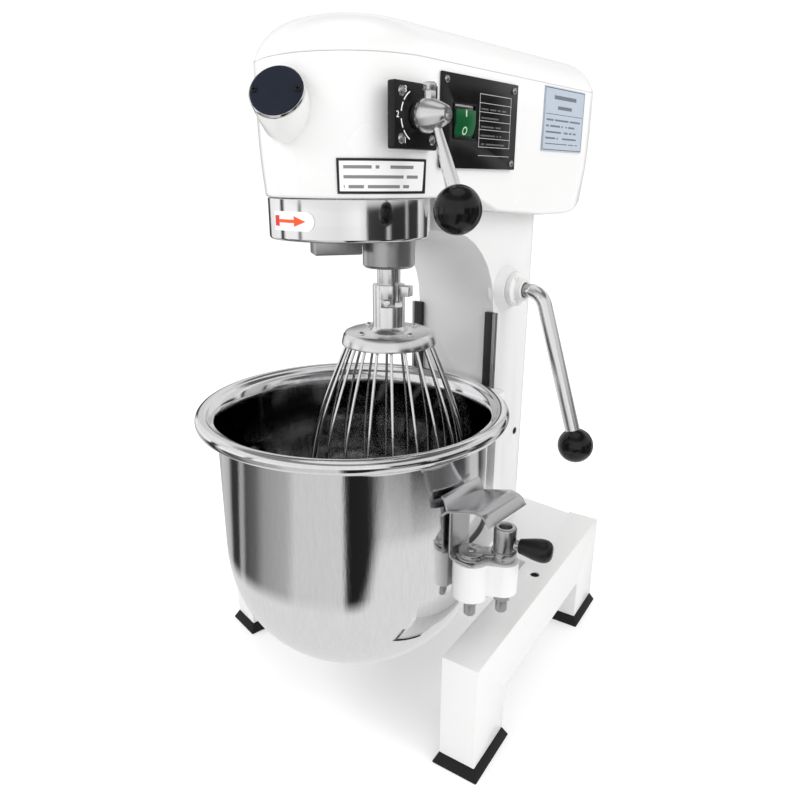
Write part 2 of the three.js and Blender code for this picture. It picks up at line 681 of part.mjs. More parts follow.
// Half ring behind the bowl that ends in a block under each locating pin and clamp
function cradle() {
  const armBottom = armTop - armThickness;
  const ring = new THREE.Shape();
  ring.absarc(0, 0, cradleOuter, rad(-2), rad(182));
  ring.absarc(0, 0, cradleInner, rad(182), rad(-2), true);
  const lobe = (side) => {
    const pinLobe = cylinder(19, armBottom - 6, armTop, 16).translate([side * pinX, pinY, 0]);
    const clampLobe = cylinder(15, armBottom, armTop, 16).translate([side * clampX, clampY, 0]);
    const web = block([-15, 15], [0, 26], [armBottom, armTop])
      .rotate([0, 0, -60 * side]).translate([side * pinX, 0, 0]);
    return join(pinLobe, clampLobe, web);
  };
  const carriage = block([-carriageHalf, carriageHalf], [carriageFront, slideFront - gap],
    [armTop - 60, carriageTop]);
  const guides = [-1, 1].map((side) => block(
    [side * (slideOuter + running + 8) - 8, side * (slideOuter + running + 8) + 8],
    [slideFront - 1, columnFront - gap - running], [armTop - 60, carriageTop]));
  const body = join(upright(ring, armBottom, armTop, 24), lobe(1), lobe(-1), carriage, ...guides);
  const bowlSpace = cylinder(cradleInner, 0, crownHeight, 48);
  const rimSpace = cylinder(rimRadius + 1.2, rimTop - 2 * rimRoll - 3, crownHeight, 48);
  return cut(body, bowlSpace, rimSpace);
}

function locatingPin(side) {
  return turned([[0, armTop + gap], [7, armTop + gap], [7, armTop + 2.2], [5.5, armTop + 2.9],
    [0, armTop + 2.9]], 14).translate([side * pinX, pinY, 0]);
}

// Stud and nut under an arm block
function stud(x, y, top) {
  const nut = cylinder(9, top - 10, top - gap, 6);
  return join(nut, cylinder(6, top - 24, top - 5, 10)).translate([x, y, 0]);
}

const latchLow = armTop + gap + flangeThickness + gap;

// Clamp: a barrel on its stud, a round foot that bears on the bowl's ear, and a lever
function clamp(side) {
  const barrel = turned([[0, armTop + gap], [clampRadius, armTop + gap], [clampRadius, clampTop - 1.5],
    [clampRadius - 1.5, clampTop], [6.5, clampTop], [6.5, clampTop - 7], [0, clampTop - 7]], 20)
    .translate([clampX, clampY, 0]);
  const foot = cylinder(15.8, latchLow, latchLow + 6, 20).translate([pinX, pinY, 0]);
  const bridge = block([0, Math.hypot(clampX - pinX, clampY - pinY)], [-6, 6], [latchLow, latchLow + 4])
    .rotate([0, 0, THREE.MathUtils.radToDeg(Math.atan2(clampY - pinY, clampX - pinX))])
    .translate([pinX, pinY, 0]);
  const neck = alongX(cylinder(5, 0, 14, 10)).rotate([0, 0, gripTurn]).translate([clampX, clampY, gripZ]);
  const shape = join(barrel, foot, bridge, neck);
  return side > 0 ? shape : shape.mirror([1, 0, 0]);
}

const gripTurn = 17; // degrees from +X
const gripZ = armTop + 19;

function grip(side) {
  const shape = turned([[0, 14 + gap], [7, 14 + gap], [8.6, 20], [11.4, 34], [11, 40], [7, 45.5],
    [0, 47]], 16).rotate([0, 90, 0]).rotate([0, 0, gripTurn]).translate([clampX, clampY, gripZ]);
  return side > 0 ? shape : shape.mirror([1, 0, 0]);
}

piece('bowl_cradle', whitePaint(), cradle());
for (const [side, hand] of [[1, 'right'], [-1, 'left']]) {
  piece(`bowl_ear_${hand}`, satin(), ear(side));
  piece(`locating_pin_${hand}`, steel(), locatingPin(side));
  piece(`pin_stud_${hand}`, steel(), stud(side * pinX, pinY, armTop - armThickness - 6));
  piece(`clamp_${hand}`, satin(), clamp(side));
  piece(`clamp_grip_${hand}`, blackPlastic(), grip(side));
}

// ---- bowl lift ----
const crankRadius = liftTravel / 2 / Math.sin(rad(crankSweep / 2));
const crankPinRadius = 6;
const crankPinY = leverY + crankRadius * Math.cos(rad(crankSweep / 2));
const crankPinZ = leverZ - liftTravel / 2;
const slotSlack = 4.6; // above and below the crank pin, because the lift follows the lever evenly

// The bar goes through the column's slot, up inside it, and takes the crank pin in its cross slot
function liftBar() {
  const slotFront = crankPinY - crankPinRadius - 2;
  const slotRear = leverY + crankRadius + crankPinRadius + 2;
  const halfSlot = crankPinRadius + slotSlack;
  const barFront = columnFront + columnWall + 3;
  const low = liftSlot[0] + 4;
  const shape = polygon([
    [slideFront + gap, low], [barFront + 12, low], [barFront + 12, crankPinZ - halfSlot - 7],
    [slotRear + 5, crankPinZ - halfSlot - 7], [slotRear + 5, crankPinZ + halfSlot + 7],
    [barFront, crankPinZ + halfSlot + 7], [barFront, low + 26], [slideFront + gap, low + 26]]);
  shape.holes.push(polygon([[slotFront, crankPinZ - halfSlot], [slotRear, crankPinZ - halfSlot],
    [slotRear, crankPinZ + halfSlot], [slotFront, crankPinZ + halfSlot]]));
  return sideways(shape, -liftBarHalf, liftBarHalf);
}

const bossOuter = 92;

function liftShaft() {
  const shaft = alongX(cylinder(leverRod, liftBarHalf + 11, bossOuter + 1, 14))
    .translate([0, leverY, leverZ]);
  const web = block([liftBarHalf + 3, liftBarHalf + 12], [-8, crankRadius + 8], [-8, 8])
    .rotate([-crankSweep / 2, 0, 0]).translate([0, leverY, leverZ]);
  const pin = alongX(cylinder(crankPinRadius, -liftBarHalf, liftBarHalf + 4, 12))
    .translate([0, crankPinY, crankPinZ]);
  return join(shaft, web, pin);
}

function liftBoss() {
  const flange = alongX(tube(20, leverRod + running, bossFace + gap, bossFace + 8, 20));
  const nose = alongX(tube(13, leverRod + running, bossFace + 7, bossFace + 16, 16));
  const screws = [90, 210, 330].map((turn) => alongX(cylinder(3.2, bossFace + 7, bossFace + 10.4, 6))
    .translate([0, 16.4, 0]).rotate([turn, 0, 0]));
  return join(flange, nose, ...screws).translate([0, leverY, leverZ]);
}

const leverBallX = 165;

function liftLever(radius) {
  const start = bossOuter + 1 + gap;
  const along = (share) => [between(start + 10, leverBallX, share), leverY, leverZ - share * leverReach];
  return rod([[start, leverY, leverZ], [start + 5, leverY, leverZ], [start + 14, leverY, leverZ - 9],
    along(0.2), along(0.5), along(0.8), along(0.95)], radius, 10, 14);
}

piece('lift_bar', steel(), liftBar());
piece('lift_shaft', steel(), liftShaft());
piece('lift_boss', whitePaint(), liftBoss());
piece('lift_lever', polished(), liftLever(leverRod));
piece('lift_ball', blackPlastic(), cut(
  ball(ballRadius, [leverBallX, leverY, leverZ - leverReach]), liftLever(leverRod + gap)));

// ---- gear selector ----
const boxFace = headHalfWidth + selectorBox[2];
const selectorBallZ = 562;

function selectorPlate() {
  const [alongY, alongZ] = selectorBox;
  const plate = block([headHalfWidth + gap, boxFace], [selectorY - alongY / 2, selectorY + alongY / 2],
    [selectorZ - alongZ / 2, selectorZ + alongZ / 2]);
  const screws = [[-1, -1], [-1, 1], [1, -1], [1, 1]].map(([y, z]) => alongX(
    cylinder(3.6, boxFace - 1, boxFace + 2, 8))
    .translate([0, selectorY + y * (alongY / 2 - 8), selectorZ + z * (alongZ / 2 - 8)]));
  return cut(join(plate, ...screws),
    alongX(cylinder(6 + running, 0, boxFace + 5, 12)).translate([0, selectorY, selectorZ]));
}

const selectorRodRadius = 5.6;

// Bullet-shaped head of the selector, drawn larger by a margin where the rod is cut to fit it
const selectorHead = (margin) => alongX(turned([[0, boxFace + running], [12 + margin, boxFace + running],
  [14 + margin, boxFace + 8], [13 + margin, boxFace + 17], [8 + margin, boxFace + 29],
  [5.5 + margin, boxFace + 33 + margin], [0, boxFace + 33 + margin]], 20))
  .translate([0, selectorY, selectorZ]);

function selectorHub() {
  const shaft = alongX(cylinder(6, headHalfWidth - 24, boxFace + 2, 12));
  const cam = block([headHalfWidth - 26, headHalfWidth - 18], [-6, 6], [-22, 6]);
  const setScrew = cylinder(5.5, 9, 25, 6).translate([boxFace + 13, 0, 0]);
  return join(join(shaft, cam, setScrew).translate([0, selectorY, selectorZ]), selectorHead(0));
}

function selectorRod(radius) {
  const x = boxFace + 20;
  return rod([[x, selectorY, selectorZ - 6], [x + 12, selectorY, between(selectorZ, selectorBallZ, 0.5)],
    [x + 24, selectorY, selectorBallZ + 6]], radius, 10, 6);
}

piece('selector_plate', blackPlastic(), selectorPlate());
piece('selector_hub', satin(), selectorHub());
piece('selector_rod', satin(), cut(selectorRod(selectorRodRadius), selectorHead(gap)));
piece('selector_ball', blackPlastic(), cut(
  ball(ballRadius, [boxFace + 45, selectorY, selectorBallZ]), selectorRod(selectorRodRadius + gap)));

// ---- switch panel and labels ----
function panel() {
  const [low, high] = [headHalfWidth + gap, headHalfWidth + gap + panelThickness];
  const sheet = block([low, high], panelY, panelZ);
  const screws = [0, 1].flatMap((i) => [0, 1].map((j) => alongX(cylinder(3.2, high - 1, high + 2, 8))
    .translate([0, panelY[i] + (i ? -7 : 7), panelZ[j] + (j ? -6 : 6)])));
  const opening = block([low - 1, high + 1], [rockerY[0] - gap, rockerY[1] + gap],
    [rockerZ[0] - gap, rockerZ[1] + gap]);
  return cut(join(sheet, ...screws), opening);
}

const rockerTilt = 7; // degrees each side of level
const rockerPivotX = headHalfWidth - 8;

function rocker() {
  const middle = (rockerZ[0] + rockerZ[1]) / 2;
  const half = (rockerZ[1] - rockerZ[0]) / 2 - 2.4;
  const profile = polygon([[-3, -half], [11.5, -half], [13, 0], [11.5, half], [-3, half]]);
  return frontways(profile, rockerY[0] + gap, rockerY[1] - gap)
    .rotate([0, rockerTilt, 0]).translate([rockerPivotX, 0, middle]);
}

const sheetLabel = (y, z) => block([headHalfWidth + gap, headHalfWidth + gap + labelThickness], y, z);

piece('switch_panel', blackPlastic(), panel());
piece('switch_rocker', printed(0x0f6b34), rocker());
piece('rating_label', printed(0x9fb0c0), sheetLabel([199, 290], [617, 682]));
piece('caution_label', printed(0xf4f4f4), cut(housingBody(gap + labelThickness), housingBody(gap))
  .intersect(block([0, headHalfWidth + 5], [-73, 2], [574, 603])));

mixer.position.y = -(headRear + (-rimRadius)) / 2;

export default mixer;
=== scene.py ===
import json
import math

import bmesh
import bpy
from mathutils import Matrix, Vector


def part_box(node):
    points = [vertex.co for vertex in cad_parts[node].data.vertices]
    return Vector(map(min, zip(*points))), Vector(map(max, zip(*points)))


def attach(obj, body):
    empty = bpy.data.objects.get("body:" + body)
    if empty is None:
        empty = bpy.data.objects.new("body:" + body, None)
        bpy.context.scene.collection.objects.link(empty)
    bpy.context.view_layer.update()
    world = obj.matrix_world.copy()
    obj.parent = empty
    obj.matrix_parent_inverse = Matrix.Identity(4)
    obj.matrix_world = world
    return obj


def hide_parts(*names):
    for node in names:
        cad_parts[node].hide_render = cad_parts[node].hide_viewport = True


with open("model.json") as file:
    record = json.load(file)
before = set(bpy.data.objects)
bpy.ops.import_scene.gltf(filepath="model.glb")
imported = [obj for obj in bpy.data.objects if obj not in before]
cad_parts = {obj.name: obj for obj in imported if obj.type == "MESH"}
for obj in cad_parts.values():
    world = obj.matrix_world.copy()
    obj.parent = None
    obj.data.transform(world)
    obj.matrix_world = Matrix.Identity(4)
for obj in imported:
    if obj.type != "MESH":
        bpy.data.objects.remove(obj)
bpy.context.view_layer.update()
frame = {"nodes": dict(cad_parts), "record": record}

drum_low, drum_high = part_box("drum_skirt")
AXIS_Y = (drum_low.y + drum_high.y) / 2
MM = 0.001
UP = Vector((0, 0, 1))


def at(x, y, z):
    """A place in millimetres about the planetary axis, in the frame's metres."""
    return Vector((x * MM, AXIS_Y + y * MM, z * MM))


def about(point):
    """The other way: a place in the frame, in millimetres about the planetary axis."""
    return Vector((point.x, point.y - AXIS_Y, point.z)) / MM


def node_box(name):
    """A node's lowest and highest corner in millimetres about the planetary axis."""
    low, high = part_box(name)
    return about(low), about(high)


# ---- camera ----
bpy.ops.object.camera_add(location=(0.49011, -0.56923, 0.58438),
                          rotation=(math.radians(71.70), math.radians(-0.18), math.radians(41.44)))
camera = bpy.context.object
camera.data.lens = 29.75
camera.data.sensor_width = 36
camera.data.clip_start = 0.01
bpy.context.scene.camera = camera


# ---- shader building ----
class Value:
    """A shader socket that adds Math nodes when it is used in an expression."""

    def __init__(self, look, socket):
        self.look = look
        self.socket = socket

    def maths(self, operation, first, second=0.0):
        return self.look.add("ShaderNodeMath", {"operation": operation}, {0: first, 1: second})

    def __add__(self, other):
        return self.maths("ADD", self, other)

    def __sub__(self, other):
        return self.maths("SUBTRACT", self, other)

    def __rsub__(self, other):
        return self.maths("SUBTRACT", other, self)

    def __mul__(self, other):
        return self.maths("MULTIPLY", self, other)

    def __truediv__(self, other):
        return self.maths("DIVIDE", self, other)

    def __gt__(self, other):
        return self.maths("GREATER_THAN", self, other)

    def __lt__(self, other):
        return self.maths("LESS_THAN", self, other)

    __radd__ = __add__
    __rmul__ = __mul__

    def size(self):
        return self.maths("ABSOLUTE", self)

    def floor(self):
        return self.maths("FLOOR", self)

    def root(self):
        return self.maths("SQRT", self)

    def turn(self, other):
        return self.maths("ARCTAN2", self, other)

    def within(self, low, high):
        """1 between two values and 0 outside them."""
        return (self > low) * (self < high)


class Look:
    """A node tree and the calls that build it."""

    def __init__(self, tree):
        self.tree = tree

    def add(self, kind, settings=None, inputs=None, output=0):
        node = self.tree.nodes.new(kind)
        for key, value in (settings or {}).items():
            if key == "stops":
                self.set_stops(node.color_ramp, value)
            else:
                setattr(node, key, value)
        for key, value in (inputs or {}).items():
            self.feed(node.inputs[key], value)
        return Value(self, node.outputs[output])

    def set_stops(self, ramp, stops):
        while len(ramp.elements) < len(stops):
            ramp.elements.new(1)
        for element, (position, shade) in zip(ramp.elements, stops):
            element.position = position
            element.color = (shade, shade, shade, 1)

    def feed(self, socket, value):
        if isinstance(value, Value):
            self.tree.links.new(value.socket, socket)
        else:
            socket.default_value = value

    def place(self, scale=(1, 1, 1), turn=(0, 0, 0)):
        coordinates = self.add("ShaderNodeTexCoord", output="Object")
        return self.add("ShaderNodeMapping", None, {"Vector": coordinates, "Scale": scale, "Rotation": turn})

    def axes(self):
        """X, Y and Z in millimetres about the planetary axis."""
        coordinates = self.add("ShaderNodeTexCoord", output="Object")
        parts = self.add("ShaderNodeSeparateXYZ", None, {0: coordinates}).socket.node.outputs
        x, y, z = (Value(self, part) for part in parts)
        return x / MM, (y - AXIS_Y) / MM, z / MM

    def noise(self, scale, detail=3, stretch=(1, 1, 1), roughness=0.5):
        return self.add("ShaderNodeTexNoise", None, {
            "Vector": self.place(stretch), "Scale": scale, "Detail": detail, "Roughness": roughness})

    def blend(self, share, first, second):
        """One colour turning into another."""
        return self.add("ShaderNodeMix", {"data_type": "RGBA"}, {0: share, 6: first, 7: second}, output=2)

    def bump(self, height, distance, strength=1.0, under=None):
        inputs = {"Height": height, "Distance": distance, "Strength": strength}
        if under:
            inputs["Normal"] = under
        return self.add("ShaderNodeBump", None, inputs)


def colour(shade, green=None, blue=None):
    return (shade, shade if green is None else green, shade if blue is None else blue, 1)


def material(name, **inputs):
    """A new material with a Principled shader, returned with the look that feeds it."""
    made = bpy.data.materials.new(name)
    made.use_nodes = True
    look = Look(made.node_tree)
    look.shader = made.node_tree.nodes["Principled BSDF"]
    look.material = made
    set_shader(look, **inputs)
    return look


def set_shader(look, **inputs):
    for key, value in inputs.items():
        look.feed(look.shader.inputs[key.replace("_", " ")], value)


def enamel(name, shade, roughness, grain):
    """Stoved enamel over a casting: slow waves from the mould, then a fine orange peel."""
    look = material(name, Metallic=0.0, Coat_Roughness=0.08)
    mottle = look.noise(9, 4)
    waves = look.bump(look.noise(28, 2), 0.0016 * grain, 0.5)
    peel = look.bump(look.noise(620, 2), 0.00012 * grain, 0.5, waves)
    set_shader(look, Base_Color=look.blend(mottle, colour(shade * 0.975, shade * 0.975, shade * 0.965),
                                           colour(shade)),
               Roughness=mottle * 0.10 + (roughness - 0.05), Coat_Weight=0.35, Normal=peel)
    return look.material


def turned_metal(name, shade, roughness, lines, stretch, tint=0.01):
    """Polished metal with the fine lines of its last wheel, and faint hazy patches."""
    look = material(name, Metallic=1.0)
    marks = look.noise(lines, 3, stretch, 0.7)
    haze = look.noise(11, 3)
    set_shader(look, Base_Color=look.blend(haze, colour(shade * 0.93, shade * 0.93, shade * 0.94),
                                           colour(shade, shade, shade + tint)),
               Roughness=haze * 0.08 + marks * 0.05 + (roughness - 0.06),
               Normal=look.bump(marks, 0.00006, 0.35))
    return look.material


def cast_metal(name, shade, roughness, grain=240):
    """Bare casting or plain machined steel with a granular skin."""
    look = material(name, Metallic=1.0)
    skin = look.noise(grain, 4)
    stains = look.noise(14, 4)
    set_shader(look, Base_Color=look.blend(stains, colour(shade * 0.82), colour(shade)),
               Roughness=stains * 0.14 + (roughness - 0.07), Normal=look.bump(skin, 0.0003, 0.4))
    return look.material


def moulded(name, shade, roughness, grain, depth, coat=0.0):
    """Moulded plastic or rubber: an even colour with a fine grain and slight scuffing."""
    look = material(name, Metallic=0.0, Coat_Roughness=0.1, Specular_IOR_Level=0.3)
    scuffs = look.noise(60, 4)
    set_shader(look, Base_Color=look.blend(scuffs, shade, tuple(c * 1.4 + 0.002 for c in shade[:3]) + (1,)),
               Roughness=scuffs * 0.12 + (roughness - 0.06), Coat_Weight=coat,
               Normal=look.bump(look.noise(grain, 2), depth, 0.5))
    return look.material


def bowl_finish():
    """Spun stainless steel, buffed up and down the wall, with faint hazy patches and a dished waviness; its
    inner wall is painted dark as painted shade and dark reflection.
    """
    look = material("polished_stainless_bowl", Metallic=1.0)
    x, y, z = look.axes()
    round_wall = look.add("ShaderNodeCombineXYZ", None,
                          {0: x.turn(y), 1: (x * x + y * y).root() / 400, 2: z / 900})
    streaks = look.add("ShaderNodeTexNoise", None,
                       {"Vector": round_wall, "Scale": 46, "Detail": 5, "Roughness": 0.7})
    haze = look.noise(9, 3)
    dents = look.bump(look.noise(7, 2, (1, 1, 0.45)), 0.0022, 0.35)
    # Painted shade and dark reflection: the inner wall above the turn-in gets a dark grey colour (0.30) in
    # place of the steel's own.
    inside = ((x * x + y * y).root() < BOWL_RADIUS - 0.8) * (z > BOWL_TURNS_IN) * (z < BOWL_NECK)
    outside = look.blend(streaks, colour(0.74, 0.74, 0.75), colour(0.90, 0.90, 0.91))
    set_shader(look, Base_Color=look.blend(inside, outside, colour(0.30)),
               Roughness=streaks * 0.06 + haze * 0.03 + 0.005, Normal=look.bump(streaks, 0.00009, 0.5, dents))
    return look.material


BOWL_RADIUS, BOWL_WALL, BOWL_FOOT, BOWL_TURNS_IN, BOWL_NECK = 146.5, 1.6, 60, 205, 341.7
white_enamel = enamel("white_enamel", 0.80, 0.26, 0.5)
cast_enamel = enamel("white_enamel_on_cast_iron", 0.77, 0.34, 1.0)
bowl_steel = bowl_finish()
hub_steel = turned_metal("polished_selector_hub", 0.78, 0.24, 160, (5, 1, 1))
drum_steel = turned_metal("polished_stainless_drum", 0.88, 0.08, 60, (9, 9, 0.6))
bright_wire = turned_metal("bright_drawn_wire", 0.86, 0.12, 300, (1, 1, 0.1))
chrome = turned_metal("chromed_lever", 0.84, 0.09, 120, (1, 1, 0.3))
satin_steel = turned_metal("satin_plated_steel", 0.84, 0.22, 220, (1, 1, 4))
ear_steel = turned_metal("pressed_ear_steel", 0.62, 0.24, 160, (1, 6, 1))
lever_steel = turned_metal("polished_lever_steel", 0.88, 0.22, 150, (1, 1, 0.3))
machined_steel = cast_metal("machined_steel", 0.46, 0.32)
cast_aluminium = cast_metal("cast_aluminium", 0.62, 0.34)
clamp_steel = cast_metal("clamp_cast_steel", 0.52, 0.22, 160)
screw_steel = turned_metal("plated_screw", 0.62, 0.24, 300, (1, 1, 1))
black_phenolic = moulded("black_phenolic", colour(0.003), 0.16, 90, 0.0001, 0.12)
black_grip = moulded("black_grip", colour(0.006), 0.30, 260, 0.0002)
black_plate = moulded("black_plate", colour(0.004), 0.26, 320, 0.0001)
motor_enamel = moulded("motor_enamel", colour(0.03, 0.033, 0.036), 0.5, 300, 0.0003)
rubber = moulded("foot_rubber", colour(0.006), 0.66, 420, 0.0005)
belt_rubber = moulded("belt_rubber", colour(0.016), 0.75, 500, 0.0004)
blue_black = moulded("blue_black_enamel", colour(0.006, 0.009, 0.020), 0.50, 500, 0.0002)


def slideway_finish():
    """Black oiled steel whose outer side is ground bright by the carriage."""
    look = material("slideway_black_and_ground")
    ground = look.axes()[0].size() > 60.6
    wear = look.noise(120, 5, (1, 1, 0.25))
    set_shader(look,
               Base_Color=look.blend(ground, colour(0.010), look.blend(wear, colour(0.18), colour(0.62))),
               Metallic=ground * 0.95, Roughness=wear * 0.25 + 0.24, Normal=look.bump(wear, 0.0002, 0.4))
    return look.material


def printed(look, ink, sheet, ink_colour, roughness, depth=0.00003, **inputs):
    """Prints one colour over a sheet wherever ink is 1, and raises it slightly."""
    set_shader(look, Base_Color=look.blend(ink, sheet, ink_colour), Roughness=roughness,
               Normal=look.bump(ink, depth, 0.5), **inputs)
    return look.material


def ruled(along, up, rows, left, right, pitch, height, word):
    """Bars in rows, broken into word-like lengths, which stand in for print."""
    look = along.look
    row = (up / pitch).floor()
    inside = (up - row * pitch).within(0, height)
    cell = (along / word).floor()
    gaps = look.add("ShaderNodeTexWhiteNoise", {"noise_dimensions": "2D"}, {
        "Vector": look.add("ShaderNodeCombineXYZ", None, {0: cell, 1: row})})
    ragged = look.add("ShaderNodeTexWhiteNoise", {"noise_dimensions": "1D"}, {"W": row + 7.5})
    return inside * (gaps > 0.16) * along.within(left,
                                                 right) * (along < right - ragged * 16) * up.within(*rows)


def rating_print():
    """Pale blue sheet with a fine border, two heavy lines and rows of small ones."""
    look = material("rating_label_print")
    _, y, z = look.axes()
    low, high = node_box("rating_label")
    across, up = y - low.y, z - low.z
    width, height = high.y - low.y, high.z - low.z
    edge = 1 - across.within(1.8, width - 1.8) * up.within(1.8, height - 1.8)
    border = edge * across.within(1.0, width - 1.0) * up.within(1.0, height - 1.0)
    heading = (across - width / 2).size() < 25
    title = up.within(53, 57) * heading
    second = up.within(43, 46.5) * ((across - width / 2).size() < 16)
    rule = up.within(37.5, 38.1) * across.within(4, width - 4)
    small = ruled(across, up, (7, 34), 6, width - 6, 6.2, 1.9, 3.1)
    ink = (border + title * 0.8 + second * 0.8 + rule + small * 0.8) * 0.9
    sheet = look.blend(look.noise(70, 3), colour(0.40, 0.46, 0.53), colour(0.45, 0.51, 0.58))
    return printed(look, ink, sheet, colour(0.03, 0.035, 0.06), 0.38 + ink * 0.1)


def caution_print():
    """White sheet with a heavy black border and three rows of bars."""
    look = material("caution_label_print")
    x, y, z = look.axes()
    angle = (x - HEAD_ARC[0]).turn(HEAD_ARC[1] - y) * HEAD_ARC[2]
    low, high = CAUTION_ARC
    across, up = angle - low, z - CAUTION_Z[0]
    width, height = high - low, CAUTION_Z[1] - CAUTION_Z[0]
    border = 1 - across.within(2.4, width - 2.4) * up.within(2.2, height - 2.2)
    bars = ruled(across, up - 4.6, (-1, height - 8), 6, width - 7, 8.0, 2.7, 3.4)
    ink = border + bars * 0.75 * (1 - border)
    sheet = look.blend(look.noise(60, 3), colour(0.80), colour(0.86))
    return printed(look, ink, sheet, colour(0.012), 0.34 + border * 0.08)


def arrow_print():
    """White film with a red arrow that shows which way the drum turns."""
    look = material("direction_arrow_print")
    x, y, z = look.axes()
    along = x.turn(0 - y) * DRUM_RADIUS
    up = (z - STICKER_Z).size()
    tail = along.within(STICKER_ENDS[0] + 1, STICKER_ENDS[0] + 9) * (up < 4.8)
    shaft = along.within(STICKER_ENDS[0] + 8.6, STICKER_ENDS[1] - 22) * (up < 1.5)
    head = along.within(STICKER_ENDS[1] - 22.4,
                        STICKER_ENDS[1] - 9) * (up < (STICKER_ENDS[1] - 9 - along) * 0.36)
    ink = (tail + shaft + head) > 0.5
    red = look.blend(along > STICKER_ENDS[0] + 8.8, colour(0.62, 0.012, 0.008), colour(0.86, 0.085, 0.01))
    sheet = look.blend(look.noise(60, 3), colour(0.78), colour(0.84))
    return printed(look, ink, sheet, red, 0.3 + ink * 0.08)


def panel_print():
    """Black plate with a ruled table in fine white lines."""
    look = material("switch_panel_print", Specular_IOR_Level=0.3)
    _, y, z = look.axes()
    low = node_box("switch_panel")[0]
    across, up = y - low.y, z - low.z
    table = across.within(58, 112) * up.within(10, 67)
    line = (up - 12) / 7.8
    rows = (line - line.floor()).within(0.0, 0.07) * table
    frame_line = table * (1 - across.within(58.7, 111.3) * up.within(10.6, 66.4)) * (up > 20)
    words = ruled(across, up - 14.2, (2, 44), 61, 105, 7.8, 1.4, 2.6) * 0.25
    ink = rows * (up < 66) + frame_line + words
    scuffs = look.noise(60, 4)
    set_shader(look, Base_Color=look.blend(ink * 0.55, look.blend(scuffs, colour(0.003), colour(0.008)),
                                           colour(0.75)),
               Roughness=scuffs * 0.1 + 0.2, Normal=look.bump(ink, 0.00003, 0.5))
    return look.material


def rocker_print():
    """Green rocker with a bar at the top and a ring at the bottom, as switches are marked."""
    look = material("rocker_green_print", Specular_IOR_Level=0.25)
    _, y, z = look.axes()
    low, high = node_box("switch_rocker")
    middle = (low.y + high.y) / 2
    bar = (y - middle).size().within(-1, 0.9) * z.within(641, 648)
    ring = ((y - middle) * (y - middle) + (z - 629) * (z - 629)).root().within(2.4, 3.6)
    ink = bar + ring
    green = look.blend(look.noise(40, 3), colour(0.002, 0.045, 0.013), colour(0.006, 0.11, 0.032))
    return printed(look, ink, green, colour(0.42, 0.62, 0.45), 0.22 + ink * 0.1, 0.0001, Coat_Weight=0.05)


# ---- modelling ----
def alone(piece):
    """Selects one piece and no other."""
    bpy.ops.object.select_all(action="DESELECT")
    bpy.context.view_layer.objects.active = piece
    piece.select_set(True)


def edit(piece):
    """Opens one piece alone in edit mode with nothing selected."""
    if bpy.context.mode != "OBJECT":
        bpy.ops.object.mode_set(mode="OBJECT")
    alone(piece)
    bpy.ops.object.mode_set(mode="EDIT")
    bpy.ops.mesh.select_all(action="DESELECT")


def choose(kind, test):
    """Selects by a test on place: VERT gets a point, EDGE two points, FACE a point and a normal."""
    mesh = bpy.context.edit_object.data
    shape = bmesh.from_edit_mesh(mesh)
    bpy.ops.mesh.select_mode(type=kind)
    bpy.ops.mesh.select_all(action="DESELECT")
    shape = bmesh.from_edit_mesh(mesh)
    if kind == "VERT":
        chosen = [v for v in shape.verts if test(about(v.co))]
    elif kind == "EDGE":
        chosen = [e for e in shape.edges if test(*(about(v.co) for v in e.verts))]
    else:
        chosen = [f for f in shape.faces if test(about(f.calc_center_median()), f.normal)]
    for item in chosen:
        item.select_set(True)
    shape.select_flush_mode()
    bmesh.update_edit_mesh(mesh)
    return len(chosen)


def close(piece):
    """Merges doubles, turns the faces outwards, leaves edit mode and applies the piece's place."""
    if bpy.context.mode != "EDIT_MESH":
        edit(piece)
    bpy.ops.mesh.select_all(action="SELECT")
    bpy.ops.mesh.remove_doubles(threshold=0.00002)
    bpy.ops.mesh.normals_make_consistent(inside=False)
    bpy.ops.object.mode_set(mode="OBJECT")
    bpy.ops.object.transform_apply(location=True, rotation=True, scale=True)
    return piece


def added(name):
    piece = bpy.context.object
    piece.name = name
    piece.data.name = name
    return piece


def block(name, x, y, z):
    """A cube between two corners, ready for shaping."""
    bpy.ops.object.select_all(action="DESELECT")
    low, high = at(x[0], y[0], z[0]), at(x[1], y[1], z[1])
    bpy.ops.mesh.primitive_cube_add(size=1, location=(low + high) / 2, scale=high - low)
    piece = added(name)
    bpy.ops.object.transform_apply(location=True, rotation=True, scale=True)
    return piece


def chain(name, points, closed=False):
    """A line of vertices drawn out from one point, left open in edit mode."""
    bpy.ops.object.select_all(action="DESELECT")
    bpy.ops.mesh.primitive_plane_add(size=MM, location=points[0])
    piece = added(name)
    bpy.ops.object.transform_apply(location=True)
    bpy.ops.object.mode_set(mode="EDIT")
    bpy.ops.mesh.select_mode(type="VERT")
    bpy.ops.mesh.select_all(action="SELECT")
    bpy.ops.mesh.merge(type="CENTER")
    for before, after in zip(points, points[1:]):
        bpy.ops.mesh.extrude_vertices_move(TRANSFORM_OT_translate={"value": Vector(after) - Vector(before)})
    bpy.ops.mesh.select_all(action="SELECT")
    if closed:
        bpy.ops.mesh.edge_face_add()
    return piece


def turned(name, profile, segments=48, place=(0, 0, 0), lean=(0, 0, 0), closed=False):
    """A profile of (radius, height) in millimetres, spun about Z, then leant and put in place."""
    points = [Vector((r * MM, 0, z * MM)) for r, z in profile]
    piece = chain(name, points + points[:1] if closed else points)
    bpy.ops.mesh.spin(steps=segments, angle=2 * math.pi, center=(0, 0, 0), axis=(0, 0, 1))
    close(piece)
    piece.rotation_euler = [math.radians(angle) for angle in lean]
    piece.location = at(*place)
    bpy.ops.object.transform_apply(location=True, rotation=True, scale=True)
    return piece


def raised(name, outline, step):
    """A closed outline filled and drawn out along a step, both in the frame's metres."""
    piece = chain(name, outline, closed=True)
    bpy.ops.mesh.extrude_region_move(TRANSFORM_OT_translate={"value": step})
    return close(piece)


